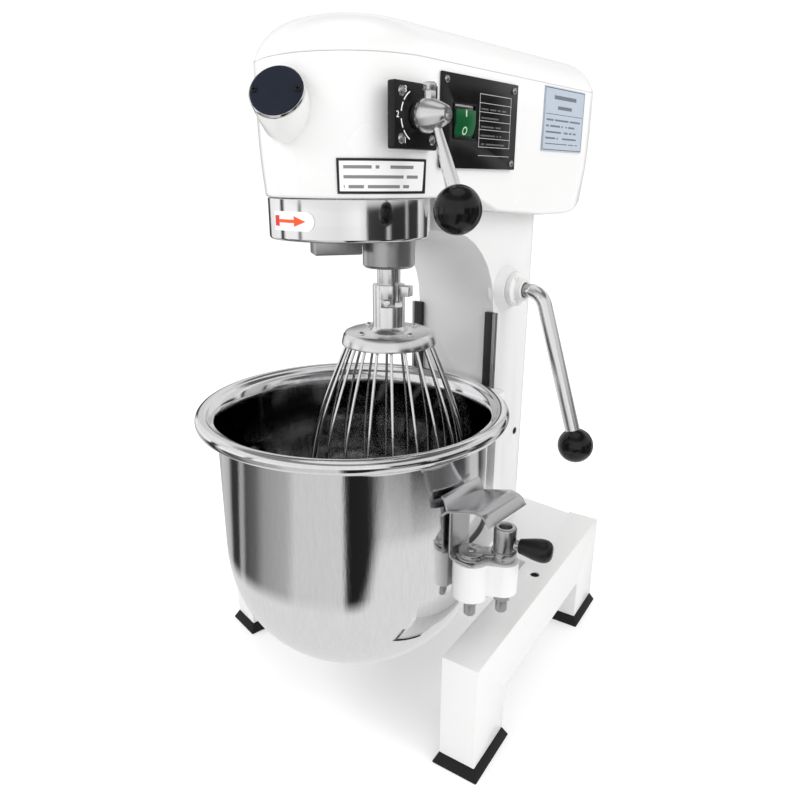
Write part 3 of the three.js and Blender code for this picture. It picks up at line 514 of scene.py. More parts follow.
def drawn(name, points, radius, sides=5, closed=False, widths=None):
    """A round bar bent along points, in the frame's metres."""
    bpy.ops.object.select_all(action="DESELECT")
    bpy.ops.curve.primitive_bezier_curve_add(location=(0, 0, 0))
    piece = added(name)
    path = piece.data
    path.splines.clear()
    spline = path.splines.new("POLY")
    spline.points.add(len(points) - 1)
    for i, (point, place) in enumerate(zip(spline.points, points)):
        point.co = (*place, 1)
        point.radius = widths[i] if widths else 1
    spline.use_cyclic_u = closed
    path.dimensions = "3D"
    path.bevel_depth = radius * MM
    path.bevel_resolution = sides
    path.use_fill_caps = not closed
    bpy.ops.object.convert(target="MESH")
    piece = bpy.context.object
    edit(piece)
    return close(piece)


def modified(piece, kind, **settings):
    """Adds a modifier and applies it."""
    alone(piece)
    modifier = piece.modifiers.new(kind.lower(), kind)
    for key, value in settings.items():
        setattr(modifier, key, value)
    bpy.ops.object.modifier_apply(modifier=modifier.name)
    return piece


def rounded(piece, width, segments=3, angle=32):
    """Breaks every edge sharper than an angle, then shades the piece smooth between them."""
    modified(piece, "BEVEL", width=width * MM, segments=segments, limit_method="ANGLE",
             angle_limit=math.radians(angle), miter_outer="MITER_ARC", use_clamp_overlap=True)
    return smooth(piece)


def smooth(piece, angle=38):
    alone(piece)
    bpy.ops.object.shade_smooth_by_angle(angle=math.radians(angle))
    return piece


def swung(piece, place, turn):
    """Turns a piece that was made on the planetary axis, and sets it down at a place."""
    alone(piece)
    piece.location = -at(0, 0, 0)
    bpy.ops.object.transform_apply(location=True)
    piece.rotation_euler = turn
    piece.location = at(*place)
    bpy.ops.object.transform_apply(location=True, rotation=True)
    return piece


def cut_by(piece, *tools):
    """Cuts tools out of a piece and throws them away."""
    for tool in tools:
        modified(piece, "BOOLEAN", operation="DIFFERENCE", object=tool, solver="EXACT")
        bpy.data.objects.remove(tool)
    return piece


def joined(first, *others):
    """One object from several."""
    bpy.ops.object.select_all(action="DESELECT")
    for piece in (first, *others):
        piece.select_set(True)
    bpy.context.view_layer.objects.active = first
    bpy.ops.object.join()
    return first


def mirrored(piece, name):
    """The same piece on the other side of the machine, with its own mesh."""
    alone(piece)
    bpy.ops.object.duplicate()
    twin = added(name)
    twin.scale.x = -1
    bpy.ops.object.transform_apply(location=True, rotation=True, scale=True)
    edit(twin)
    bpy.ops.mesh.select_all(action="SELECT")
    bpy.ops.mesh.normals_make_consistent(inside=False)
    bpy.ops.object.mode_set(mode="OBJECT")
    return twin


def softened(node, name, width, segments=3, angle=32):
    """A casting or turned part taken from its CAD node, with its flats made whole and its edges broken."""
    source = frame["nodes"][node]
    piece = bpy.data.objects.new(name, source.data.copy())
    bpy.context.scene.collection.objects.link(piece)
    edit(piece)
    bpy.ops.mesh.select_all(action="SELECT")
    bpy.ops.mesh.remove_doubles(threshold=0.00001)
    bpy.ops.mesh.dissolve_limited(angle_limit=math.radians(0.6))
    bpy.ops.object.mode_set(mode="OBJECT")
    piece.data.materials.clear()
    if width:
        rounded(piece, width, segments, angle)
    return piece


body_of = {node: body for body, nodes in frame["record"]["behaviour"]["bodies"].items() for node in nodes}


def settle(piece, finish, *nodes, beside=None, made_as=None):
    """Gives a piece its finish and its body. It stands for the nodes named, or only goes with another.

    made_as is not used.
    """
    piece.data.materials.clear()
    piece.data.materials.append(finish)
    first = nodes[0] if nodes else beside
    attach(piece, body_of[first])
    if nodes:
        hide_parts(*nodes)
    return piece


def keep(node, finish):
    """A CAD node that stays, with a better finish."""
    slots = frame["nodes"][node].data.materials
    slots.clear()
    slots.append(finish)


def screw(name, place, radius, height, lean=(0, 0, 0), slot=True):
    """A round-headed screw with a cross cut in it."""
    dome = [(0, height), (radius * 0.45, height * 0.94), (radius * 0.8, height * 0.66),
            (radius, height * 0.2),
            (radius, -0.4), (0, -0.4)]
    head = turned(name, dome, 24, (0, 0, 0))
    if slot:
        arm, half = radius * 0.62, radius * 0.13
        for x, y in ((arm, half), (half, arm)):
            cut_by(head, block("screw_cross", (-x, x), (-y, y), (height * 0.45, height * 1.5)))
    return smooth(swung(head, place, [math.radians(angle) for angle in lean]))


def fillet(a, corner, b, radius, steps=8):
    """Points of a rounded corner between two straight runs, as Vectors."""
    back, on = (a - corner).normalized(), (b - corner).normalized()
    half = back.angle(on) / 2
    reach = radius / math.tan(half)
    middle = corner + (back + on).normalized() * radius / math.sin(half)
    first, last = (corner + back * reach - middle).normalized(), (corner + on * reach - middle).normalized()
    return [middle + first.slerp(last, i / steps) * radius for i in range(steps + 1)]


# ---- head ----
HEAD_SHIFT, HEAD_HALF, HEAD_FRONT, HEAD_REAR = 6, 89, -89, 345
HEAD_FLAT = 2
HEAD_ARC = (HEAD_SHIFT + HEAD_FLAT, -HEAD_FLAT, HEAD_HALF - HEAD_FLAT)
HEAD_BOTTOM, CREASE, HEAD_TOP = 548, 684, 722.1
UNDERCUT, UNDERCUT_FROM, UNDERCUT_DEEP = 10, 657, 110
REAR_ROLL = 60


def draw_in(z):
    """How far the side of the head has drawn in at a height."""
    if z >= UNDERCUT_FROM:
        return 0
    return UNDERCUT * (1 - math.sqrt(1 - min(1, (UNDERCUT_FROM - z) / UNDERCUT_DEEP) ** 2))


HEAD_MIDDLE = (HEAD_FRONT + HEAD_REAR) / 2
HEAD_LONG = (HEAD_REAR - HEAD_FRONT) / 2


def head_shares(z):
    inset = draw_in(z)
    return (HEAD_HALF - inset) / HEAD_HALF, (HEAD_LONG - inset) / HEAD_LONG


def head_outline_block(name, low, high):
    """The plan of the head, stood up between two heights: round at the front, rounded corners behind."""
    piece = block(name, (HEAD_SHIFT - HEAD_HALF, HEAD_SHIFT + HEAD_HALF), (HEAD_FRONT, HEAD_REAR),
                  (low, high))
    edit(piece)
    for radius, segments, front in ((HEAD_ARC[2], 24, True), (45, 12, False)):
        choose("EDGE", lambda a, b: abs(a.z - b.z) > 1 and abs(a.x - HEAD_SHIFT) > 88 and (a.y < 0) == front
               and min(abs(a.y - HEAD_FRONT), abs(a.y - HEAD_REAR)) < 0.01)
        bpy.ops.mesh.bevel(offset=radius * MM, segments=segments, offset_type="OFFSET")
    return piece


def underside(y):
    """Height of the head's underside along the machine."""
    if y <= 84:
        return 570
    if y <= 130:
        return 570 - 15 * (y - 84) / 46
    if y <= 230:
        return 555 - 7 * (y - 130) / 100
    roll = max(0, y - (HEAD_REAR - REAR_ROLL))
    return HEAD_BOTTOM + REAR_ROLL - math.sqrt(REAR_ROLL * REAR_ROLL - roll * roll)


def head_body():
    piece = head_outline_block("head_body", HEAD_BOTTOM, CREASE)
    levels = (600, 617, 634, 648, UNDERCUT_FROM)
    for z in levels:
        bpy.ops.mesh.select_all(action="SELECT")
        bpy.ops.mesh.bisect(plane_co=at(0, 0, z), plane_no=UP)
    for y in (84, 107, 130, 180, 230, 285, 303, 318, 330):
        bpy.ops.mesh.select_all(action="SELECT")
        bpy.ops.mesh.bisect(plane_co=at(0, y, 0), plane_no=(0, 1, 0))
    shape = bmesh.from_edit_mesh(piece.data)
    rows = sorted({round(about(v.co).y, 2) for v in shape.verts if about(v.co).z < HEAD_BOTTOM + 0.1})
    for y in rows:
        lift = underside(y) - HEAD_BOTTOM
        if lift:
            choose("VERT", lambda p: p.z < HEAD_BOTTOM + 0.1 and abs(p.y - y) < 0.02)
            bpy.ops.transform.translate(value=(0, 0, lift * MM))
    shape = bmesh.from_edit_mesh(piece.data)
    heights = sorted({round(about(v.co).z, 1) for v in shape.verts if about(v.co).z < UNDERCUT_FROM})
    for z in heights:
        across, along = head_shares(z)
        choose("VERT", lambda p: abs(p.z - z) < 0.051)
        bpy.ops.transform.resize(value=(across, along, 1), center_override=at(HEAD_SHIFT, HEAD_MIDDLE, z))
    choose("FACE", lambda p, n: n.z < -0.6)
    bpy.ops.mesh.region_to_loop()
    bpy.ops.mesh.bevel(offset=6 * MM, segments=4, offset_type="OFFSET", clamp_overlap=True)
    close(piece)
    pocket_low, pocket_high = node_box("switch_rocker")
    cut_by(piece, block("pocket", (80, 100), (pocket_low.y - 0.8, pocket_high.y + 0.8),
                        (pocket_low.z - 1, pocket_high.z + 1)))
    return rounded(piece, 0.5, 2, 60)


def head_crown():
    """The cover: rings drawn in and up from the crease, then across the top."""
    piece = head_outline_block("head_crown", CREASE + 0.3, CREASE + 2.3)
    choose("FACE", lambda p, n: n.z > 0.9)
    done, height = 0, CREASE + 2.3
    for inset, z in ((1.6, 690), (5, 697), (10, 703.5), (16, 709), (23, 713.6), (31, 717), (39, 719.2)):
        bpy.ops.mesh.inset(thickness=(inset - done) * MM, depth=(z - height) * MM, use_even_offset=True)
        done, height = inset, z
    for inset, z in ((50, 721), (64, 721.8), (80, HEAD_TOP)):
        bpy.ops.mesh.extrude_region_move(TRANSFORM_OT_translate={"value": (0, 0, (z - height) * MM)})
        shares = ((HEAD_HALF - inset) / (HEAD_HALF - done), (HEAD_LONG - inset) / (HEAD_LONG - done), 1)
        bpy.ops.transform.resize(value=shares, center_override=at(HEAD_SHIFT, HEAD_MIDDLE, z))
        done, height = inset, z
    close(piece)
    modified(piece, "BEVEL", width=0.3 * MM, segments=2, limit_method="ANGLE", angle_limit=math.radians(60))
    return smooth(piece, 50)


settle(head_body(), white_enamel, "head_housing")
settle(head_crown(), white_enamel, "head_cover")

HUB = (25, -105, 652.5)
HUB_LEAN = (61, 0, 33)
hub_ring = turned("hub_barrel_turned",
                  [(0, -34), (24, -34), (24, -8), (23.4, -4), (23.4, 0), (21.6, 0), (21.6, -4),
                                         (0, -4)], 64, HUB, HUB_LEAN)
settle(rounded(hub_ring, 0.5, 3), white_enamel, "hub_barrel")
hub_rim = turned("hub_rim_polished", [(22.6, 0.2), (23.9, 0.2), (23.9, 1.8), (22.9, 3.2), (22.6, 3.2)], 64,
                 HUB,
                 HUB_LEAN, closed=True)
settle(smooth(rounded(hub_rim, 0.3, 2)), chrome, beside="hub_barrel", made_as="selector_hub")
hub_disc = turned("hub_cover_disc", [(0, 0.3), (22.5, 0.3), (22.5, 3.4), (21.4, 4.4), (0, 4.4)], 64, HUB,
                  HUB_LEAN)
settle(rounded(hub_disc, 0.4, 2), blue_black, "hub_cover")
hub_turn = Matrix.Rotation(math.radians(HUB_LEAN[2]), 4,
                           "Z") @ Matrix.Rotation(math.radians(HUB_LEAN[0]), 4, "X")
for side, hand in ((1, "right"), (-1, "left")):
    spot = hub_turn @ Vector((side * 18.5, 0, 4.2)) + Vector(HUB)
    settle(screw(f"hub_screw_{hand}", spot, 2.9, 1.8, HUB_LEAN), black_plate, beside="hub_cover")

# ---- caution label and sticker, wrapped on the curves they are stuck to ----
CAUTION_Z = (574, 603)
CAUTION_ARC = tuple(HEAD_ARC[2] * math.atan2(x - HEAD_ARC[0], HEAD_ARC[1] - y) for x,
                    y in ((58, -73), (95, 2)))


def on_head(length, z):
    """A place on the round front of the head, by the length along its arc."""
    turn = length / HEAD_ARC[2]
    x, y = HEAD_ARC[0] + HEAD_ARC[2] * math.sin(turn), HEAD_ARC[1] - HEAD_ARC[2] * math.cos(turn)
    across, along = head_shares(z)
    out = 0.35
    return at(HEAD_SHIFT + (x - HEAD_SHIFT) * across + out * math.sin(turn),
              HEAD_MIDDLE + (y - HEAD_MIDDLE) * along - out * math.cos(turn), z)


def caution_sheet():
    lengths = [CAUTION_ARC[0] + (CAUTION_ARC[1] - CAUTION_ARC[0]) * i / 24 for i in range(25)]
    heights = [CAUTION_Z[0] + (CAUTION_Z[1] - CAUTION_Z[0]) * i / 4 for i in range(5)]
    piece = chain("caution_sheet", [on_head(c, heights[0]) for c in lengths])
    for low, high in zip(heights, heights[1:]):
        bpy.ops.mesh.extrude_region_move(TRANSFORM_OT_translate={"value": (0, 0, (high - low) * MM)})
        (wide, long), (before, behind) = head_shares(high), head_shares(low)
        bpy.ops.transform.resize(value=(wide / before, long / behind, 1),
                                center_override=at(HEAD_SHIFT, HEAD_MIDDLE, high))
    bpy.ops.object.mode_set(mode="OBJECT")
    modified(piece, "SOLIDIFY", thickness=0.4 * MM, offset=1)
    return smooth(close(piece))


settle(caution_sheet(), caution_print(), "caution_label")

DRUM_RADIUS = (drum_high.x - drum_low.x) / 2 / MM
STICKER_Z = 549.6
STICKER_ENDS = (-21, 31)


def sticker():
    half, out, (start, end) = 8.6, 0.3, STICKER_ENDS
    lengths = [start + (end - start) * i / 50 for i in range(51)]
    turns = [length / DRUM_RADIUS for length in lengths]
    reach = DRUM_RADIUS + out
    lower = [at(reach * math.sin(t), -reach * math.cos(t), STICKER_Z - half) for t in turns]
    piece = chain("direction_film", lower)
    bpy.ops.mesh.extrude_region_move(TRANSFORM_OT_translate={"value": (0, 0, 2 * half * MM)})
    for length, turn in zip(lengths, turns):
        over = length - (end - half)
        if over > 0:
            share = max(0.04, math.sqrt(max(0, 1 - (over / half) ** 2)))
            choose("VERT", lambda p: abs(math.atan2(p.x, -p.y) - turn) < 0.001)
            bpy.ops.transform.resize(value=(1, 1, share), center_override=at(0, 0, STICKER_Z))
    bpy.ops.object.mode_set(mode="OBJECT")
    modified(piece, "SOLIDIFY", thickness=0.35 * MM, offset=1)
    return smooth(close(piece))


settle(sticker(), arrow_print(), "direction_sticker")

# ---- drum, carrier and spindle ----
drum = turned("drum_band", [(77.3, 531.6), (79.2, 531.3), (80.3, 533.2), (80.3, 569.2), (77.3, 569.2)], 128,
              closed=True)
settle(rounded(drum, 0.8, 3, 20), drum_steel, "drum_skirt")

SPINDLE = (42 * math.cos(math.radians(67)), 42 * math.sin(math.radians(67)))


def carrier():
    plate = turned("carrier_casting",
                   [(0, 533), (70, 533), (72, 531.5), (77, 531.5), (77, 539.3), (20, 539.3),
                                       (14, 549), (14, 664), (0, 664)], 96)
    boss = turned("carrier_boss", [(0, 499), (24.6, 499), (27.2, 501.5), (27.4, 520), (29, 530), (33, 533.5),
                                   (0, 534)], 64, (*SPINDLE, 0))
    weight = block("carrier_weight", (-44, 4), (-16, 16), (514.3, 534))
    swung(weight, (0, 6, 0), (0, 0, math.radians(57)))
    return joined(rounded(plate, 0.6, 2), rounded(boss, 0.8, 3), rounded(weight, 1.6, 3))


settle(carrier(), cast_aluminium, "planetary_carrier")
spindle = turned("spindle_shaft", [(0, 445), (12.2, 445), (12.2, 547.3), (9, 547.3), (9, 588), (0, 588)], 48,
                 (*SPINDLE, 0))
PIN_Z, PIN_TURN = 463, -55
cross_pin = turned("spindle_pin", [(0, -18.2), (3.4, -18.2), (4, -17.4), (4, 17.4), (3.4, 18.2), (0, 18.2)],
                   24,
                   (*SPINDLE, PIN_Z), (0, 90, PIN_TURN))
settle(joined(rounded(spindle, 0.5, 2), rounded(cross_pin, 0.3, 2)), satin_steel, "agitator_shaft")


def radial_block(name, x, y, z, turn):
    """A block set out from the spindle's axis and turned about it."""
    return swung(block(name, x, y, z), (*SPINDLE, 0), (0, 0, math.radians(turn)))


def whisk_head():
    sleeve = turned("whisk_head_turned", [
        (12.6, 443), (12.6, 481), (17.2, 481), (17.2, 437), (19.4, 433.2), (21, 432), (44, 432),
        (47.2, 430.6),
        (49.4, 427.6), (51.3, 420), (51.3, 418), (44, 418), (42, 421), (0, 421), (0, 443)], 96, (*SPINDLE, 0))
    for side in (0, 180):
        turn = PIN_TURN + side
        cut_by(sleeve, radial_block("bayonet_slot", (12, 24), (-11.4, 11.4), (458.4, 467.6), turn + 20),
               radial_block("bayonet_entry", (8, 24), (-4.6, 4.6), (463, 483), turn + 40))
    rounded(sleeve, 0.5, 3, 28)
    lug = radial_block("whisk_lug", (14.5, 26.2), (-5, 5), (470, 481), PIN_TURN + 68)
    rounded(lug, 0.8, 3)
    screws = []
    for i in range(4):
        turn = math.radians(PIN_TURN + 90 * i + 45)
        spot = (SPINDLE[0] + 36.5 * math.cos(turn), SPINDLE[1] + 36.5 * math.sin(turn), 432)
        screws.append(screw(f"whisk_screw_{i}", spot, 3.9, 2.6))
    return joined(sleeve, lug, *screws)


settle(whisk_head(), satin_steel, "whisk_hub")


def whisk_cage():
    """Bent wire loops that cross at the bottom."""
    top, bottom, root, widest, loops = 420, 149.6, 44.5, 90.4, 10
    wires = []
    for i in range(loops):
        turn = math.pi * (i + 0.5) / loops
        points = []
        for step in range(-24, 25):
            share = 1 - (abs(step) / 24) ** 1.5
            radius = root + (widest - root) * math.sin(math.pi / 2 * min(share / 0.62, 1))
            if share > 0.62:
                radius *= math.sqrt(max(0, 1 - ((share - 0.62) / 0.38) ** 2))
            out = math.copysign(radius, step)
            low = top - (top - bottom) * share
            points.append(at(SPINDLE[0] + out * math.cos(turn), SPINDLE[1] + out * math.sin(turn), low))
        wires.append(drawn(f"wire_{i}", points, 1.6, 3))
    return smooth(joined(*wires), 60)


settle(whisk_cage(), bright_wire, "whisk_wires")


# ---- bowl ----
def bowl():
    radius, wall, foot, round_from = BOWL_RADIUS, BOWL_WALL, BOWL_FOOT, BOWL_TURNS_IN
    outer, inner = [], []
    for i in range(25):
        turn = math.pi / 2 * i / 24
        side, drop = math.sin(turn) ** (2 / 2.2), math.cos(turn) ** (2 / 2.2)
        outer.append((radius * side, round_from - (round_from - foot) * drop))
        inner.append(((radius - wall) * side, round_from - (round_from - foot - wall) * drop))
    roll = 7.5
    centre = (168 - roll, 356.7 - roll)
    rim = [(centre[0] + roll * math.cos(t), centre[1] + roll * math.sin(t))
           for t in (math.radians(-100 + 252 * i / 20) for i in range(21))]
    neck = BOWL_NECK
    lip = [(radius, neck - 9), (radius + 0.6, neck - 4.5), (radius + 3.2, neck - 1.4),
           (radius + 7, neck - 0.2)]
    throat = [(radius + 4.6, 352.2), (radius + 1.8, neck + 5.6), (radius - 0.4, neck),
              (radius - wall, neck - 7)]
    return smooth(turned("bowl_spun", outer + [(radius, 270)] + lip + rim + throat
                         + [(radius - wall, 270)] + inner[::-1], 160), 50)


settle(bowl(), bowl_steel, "bowl")

# ---- ears, clamps and pins ----
PIN = (166, -5)
CLAMP = (191, 14)
EAR_HALF = 31


def ear():
    """Folded sheet: a flange on the locating pin, an upright against the bowl, and two wings above."""
    corners = [Vector(p) for p in ((177, 0, 232.6), (149.9, 0, 232.6), (149.9, 0, 284), (157, 0, 291),
                                   (188, 0, 300.5), (198, 0, 299), (204.5, 0, 291))]
    path = [corners[0]]
    for before, corner, after, radius in zip(corners, corners[1:], corners[2:], (4.2, 4, 5, 9, 7)):
        path += fillet(before, corner, after, radius, 6)
    path.append(corners[-1])
    piece = chain("bowl_ear_folded", [at(p.x, PIN[1] - EAR_HALF, p.z) for p in path])
    for _ in range(8):
        bpy.ops.mesh.extrude_region_move(TRANSFORM_OT_translate={"value": (0, EAR_HALF * MM / 4, 0)})
    choose("VERT", lambda p: p.z < 284)
    bpy.ops.transform.resize(value=(1, 0.52, 1), center_override=at(0, PIN[1], 0))
    bpy.ops.object.mode_set(mode="OBJECT")
    modified(piece, "SOLIDIFY", thickness=2.2 * MM, offset=0)
    close(piece)
    wing_half = EAR_HALF - 1
    wing = raised("bowl_ear_wing", [at(x, PIN[1] - wing_half, z) for x, z in (
        (155.6, 289.6), (151.6, 300.2), (148.6, 303.4), (149.8, 305), (153.6, 301.4), (158, 291.2))],
        (0, 2 * wing_half * MM, 0))
    return joined(rounded(piece, 0.6, 2), rounded(wing, 0.6, 2))


def clamp():
    barrel = turned("clamp_turned",
                    [(0, 231.4), (10.4, 231.4), (11.2, 232.4), (11.2, 265.6), (10, 268), (6.6, 268),
                                     (6.2, 267), (6.2, 260.5), (0, 260.5)], 48, (*CLAMP, 0))
    collar = turned("clamp_collar", [(0, 237), (12.6, 237), (12.6, 243.4), (0, 243.4)], 48, (*CLAMP, 0))
    foot = turned("clamp_foot",
                  [(0, 234.3), (15.6, 234.3), (15.8, 236), (13.4, 237.2), (13.2, 240.4), (4.6, 240.4),
                                 (4.4, 242), (2.6, 243.2), (0, 243.4)], 48, (*PIN, 0))
    lean = math.atan2(CLAMP[1] - PIN[1], CLAMP[0] - PIN[0])
    span = math.hypot(CLAMP[0] - PIN[0], CLAMP[1] - PIN[1])
    bridge = swung(block("clamp_bridge", (0, span), (-7, 7), (236.8, 241)), (*PIN, 0), (0, 0, lean))
    neck = turned("clamp_neck", [(0, 9), (5.4, 9), (5.4, 13), (4.6, 14.6), (4.6, 16), (0, 16)], 32,
                  (*CLAMP, 250),
                  (0, 90, 17))
    parts = [rounded(p, 0.6, 3) for p in (barrel, collar, foot, bridge, neck)]
    return joined(*parts)


def grip():
    return rounded(turned("clamp_grip_moulded", [
        (0, 14.4), (6.6, 14.4), (7.2, 15.4), (7.8, 18), (8.8, 22), (10.2, 28), (11.2, 34), (11.4, 38),
        (10.8, 41.6),
        (9, 44.6), (6, 46.5), (2.6, 47), (0, 47)], 48, (*CLAMP, 250), (0, 90, 17)), 0.4, 2, 40)


def hex_stud(name, x, y, top):
    """A nut under an arm and the end of its stud."""
    nut = turned(name, [(0, top - 10), (8, top - 10), (9, top - 8.8), (9, top - 0.3), (0, top - 0.3)], 6,
                 (x, y, 0))
    end = turned(name + "_end", [(0, top - 24), (5, top - 24), (6, top - 22.6), (6, top - 5), (0, top - 5)],
                 32,
                 (x, y, 0))
    return joined(rounded(nut, 0.5, 2), rounded(end, 0.3, 2))


for side, hand in ((1, "right"), (-1, "left")):
    made = [(ear(), ear_steel, "bowl_ear_"), (clamp(), clamp_steel, "clamp_"),
            (grip(), black_grip, "clamp_grip_"),
            (hex_stud("stud", *PIN, 191), machined_steel, "pin_stud_"),
            (hex_stud("clamp_stud", *CLAMP, 197), machined_steel, None),
            (rounded(turned("pin", [(0, 231.3), (7, 231.3), (7, 233.2), (5.5, 233.9), (0, 233.9)], 32,
                            (*PIN, 0)),
                     0.2, 2), machined_steel, "locating_pin_")]
    for piece, finish, node in made:
        if side < 0:
            twin = mirrored(piece, piece.name + "_left")
            bpy.data.objects.remove(piece)
            piece = twin
        else:
            piece.name = piece.name + "_right"
        if node:
            settle(piece, finish, node + hand)
        else:
            settle(piece, finish, beside="pin_stud_" + hand)

# ---- castings ----
settle(softened("bowl_cradle", "cradle_casting", 1.8, 3), cast_enamel, "bowl_cradle")
settle(softened("base_frame", "base_casting", 2.6, 4), cast_enamel, "base_frame")
settle(softened("column", "column_casting", 1.6, 3), cast_enamel, "column")


def column_flare():
    """The column's foot spreads on to the deck in a cast fillet."""
    left, right, front, back, deck, spread = -55.5, 55.5, 92, 176, 133.4, 20
    piece = block("column_foot_fillet", (left - spread, right + spread), (front - 4, back + 4),
                  (deck, deck + 0.6))
    edit(piece)
    choose("FACE", lambda p, n: n.z > 0.9)
    wide, height = right + spread, deck + 0.6
    for step in range(1, 9):
        turn = math.pi / 2 * step / 8
        half, top = right + spread * (1 - math.sin(turn)), deck + 0.6 + 26 * (1 - math.cos(turn))
        bpy.ops.mesh.extrude_region_move(TRANSFORM_OT_translate={"value": (0, 0, (top - height) * MM)})
        bpy.ops.transform.resize(value=(half / wide, 0.99, 1), center_override=at(0, (front + back) / 2, top))
        wide, height = half, top
    return smooth(close(piece), 60)


settle(column_flare(), cast_enamel, beside="column")
settle(softened("column_rear_cover", "column_cover_plate", 1.0, 2), white_enamel, "column_rear_cover")
for hand in ("right", "left"):
    settle(softened("slideway_" + hand, "slideway_bar_" + hand, 0.8, 2), slideway_finish(),
           "slideway_" + hand)
    for end in ("front", "rear"):
        node = f"foot_pad_{end}_{hand}"
        settle(softened(node, node + "_moulded", 1.4, 3), rubber, node)

# Painted shade: black fillers in the anchor holes and the column's side hole, standing in for the shade down
# in them
hole_shade_black = moulded("hole_plug_rubber", colour(0.004), 0.6, 300, 0.0002)
hole_shades = []
for side in (1, -1):
    rail = math.radians(8.14) * side
    across, along = -side * 20.5, 190
    spot = (side * 201.2 + across * math.cos(rail) - along * math.sin(rail),
            -36.6 + across * math.sin(rail) + along * math.cos(rail), 0)
    hole_shades.append(turned("anchor_plug",
                          [(0, 118), (5.3, 118), (5.3, 131.2), (4.4, 132), (3.2, 130.6), (0, 130.6)], 32,
                          spot))
hole_shades.append(turned("column_plug", [(0, 50), (4.8, 50), (4.8, 55.6), (4, 56.4), (0, 56.4)], 32,
                      (0, 244, 267), (0, 90, 0)))
settle(joined(*(rounded(plug, 0.3, 2) for plug in hole_shades)), hole_shade_black, beside="base_frame")

# ---- lift lever ----
LEVER = (203, 463)
BALL_X, BALL_Z = 165, 288
BALL_RADIUS = 20.5


def lever_path():
    start, corner = Vector((93.3, LEVER[0], LEVER[1])), Vector((106, LEVER[0], LEVER[1]))
    end = Vector((BALL_X - 2, LEVER[0], BALL_Z + 8))
    return [at(*p) for p in [start] + fillet(start, corner, end, 22, 12) + [end]]


settle(smooth(drawn("lift_lever_bar", lever_path(), 8.4, 10)), lever_steel, "lift_lever")


def ball(name, place, radius, towards):
    """A moulded ball with a flat where its rod goes in."""
    profile = [(0, -radius)] + [(radius * math.sin(t), -radius * math.cos(t))
                                for t in (math.pi * i / 24 for i in range(1, 22))]
    flat = profile[-1][1]
    piece = turned(name, profile + [(profile[-1][0] - 1, flat + 0.4), (0, flat + 0.4)], 48)
    return smooth(swung(piece, place, UP.rotation_difference(Vector(towards)).to_euler()), 50)


settle(ball("lift_lever_ball", (BALL_X, LEVER[0], BALL_Z), BALL_RADIUS, (-62, 0, 175)),
       black_phenolic, "lift_ball")


def lift_flange():
    parts = [turned("lift_flange_cast",
                    [(8.8, 68.3), (20, 68.3), (20, 74.6), (19, 76), (13.4, 76), (13, 77), (12.6, 84),
                                         (8.8, 84)], 48, (0, LEVER[0], LEVER[1]), (0, 90, 0), closed=True)]
    rounded(parts[0], 0.6, 3)
    for i, turn in enumerate((90, 210, 330)):
        y, z = 16.4 * math.sin(math.radians(turn)), 16.4 * math.cos(math.radians(turn))
        parts.append(screw(f"flange_screw_{i}", (76, LEVER[0] + y, LEVER[1] + z), 3.4, 2.6, (0, 90, 0)))
    return joined(*parts)


settle(lift_flange(), white_enamel, "lift_boss")

# ---- gear selector ----
KNOB = (-22, 636)
PLATE_X = 104
SELECTOR_BALL_Z = 562


def selector_plate():
    low, high = node_box("selector_plate")
    piece = block("selector_plate_moulded", (low.x, PLATE_X), (low.y, high.y), (low.z, high.z))
    return rounded(piece, 1.6, 4)


settle(selector_plate(), black_plate, "selector_plate")
for i, (y, z) in enumerate(((-20, -18), (-20, 18), (20, -18), (20, 18))):
    settle(screw(f"selector_screw_{i}", (PLATE_X, KNOB[0] + y, KNOB[1] + z), 4.1, 2.2, (0, 90, 0)),
           screw_steel,
           beside="selector_plate", made_as="selector_hub")


def dial():
    """Arc marks beside the knob and the numbers of the three speeds."""
    parts = []
    for i, (start, end) in enumerate(((118, 146), (152, 172), (188, 208), (214, 242))):
        spots = [at(PLATE_X + 0.1, KNOB[0] + 20.5 * math.cos(math.radians(t)),
                    KNOB[1] + 20.5 * math.sin(math.radians(t)))
                 for t in (start + (end - start) * k / 8 for k in range(9))]
        parts.append(drawn(f"dial_stroke_{i}", spots, 0.55, 1))
    for number, turn in (("1", 232), ("2", 180), ("3", 128)):
        y = KNOB[0] + 24.6 * math.cos(math.radians(turn))
        z = KNOB[1] + 24.6 * math.sin(math.radians(turn))
        bpy.ops.object.select_all(action="DESELECT")
        bpy.ops.object.text_add(location=(0, 0, 0))
        bpy.context.object.data.body = number
        bpy.context.object.data.size = 7 * MM
        bpy.context.object.data.extrude = 0.12 * MM
        bpy.context.object.data.align_x = "CENTER"
        bpy.context.object.data.align_y = "CENTER"
        bpy.ops.object.convert(target="MESH")
        digit = added("dial_" + number)
        digit.rotation_euler = (math.pi / 2, 0, math.pi / 2)
        digit.location = at(PLATE_X + 0.15, y, z)
        bpy.ops.object.transform_apply(location=True, rotation=True, scale=True)
        parts.append(digit)
    return joined(*parts)


dial_paint = moulded("dial_white_paint", colour(0.78), 0.4, 300, 0.0001)
settle(dial(), dial_paint, beside="selector_plate")


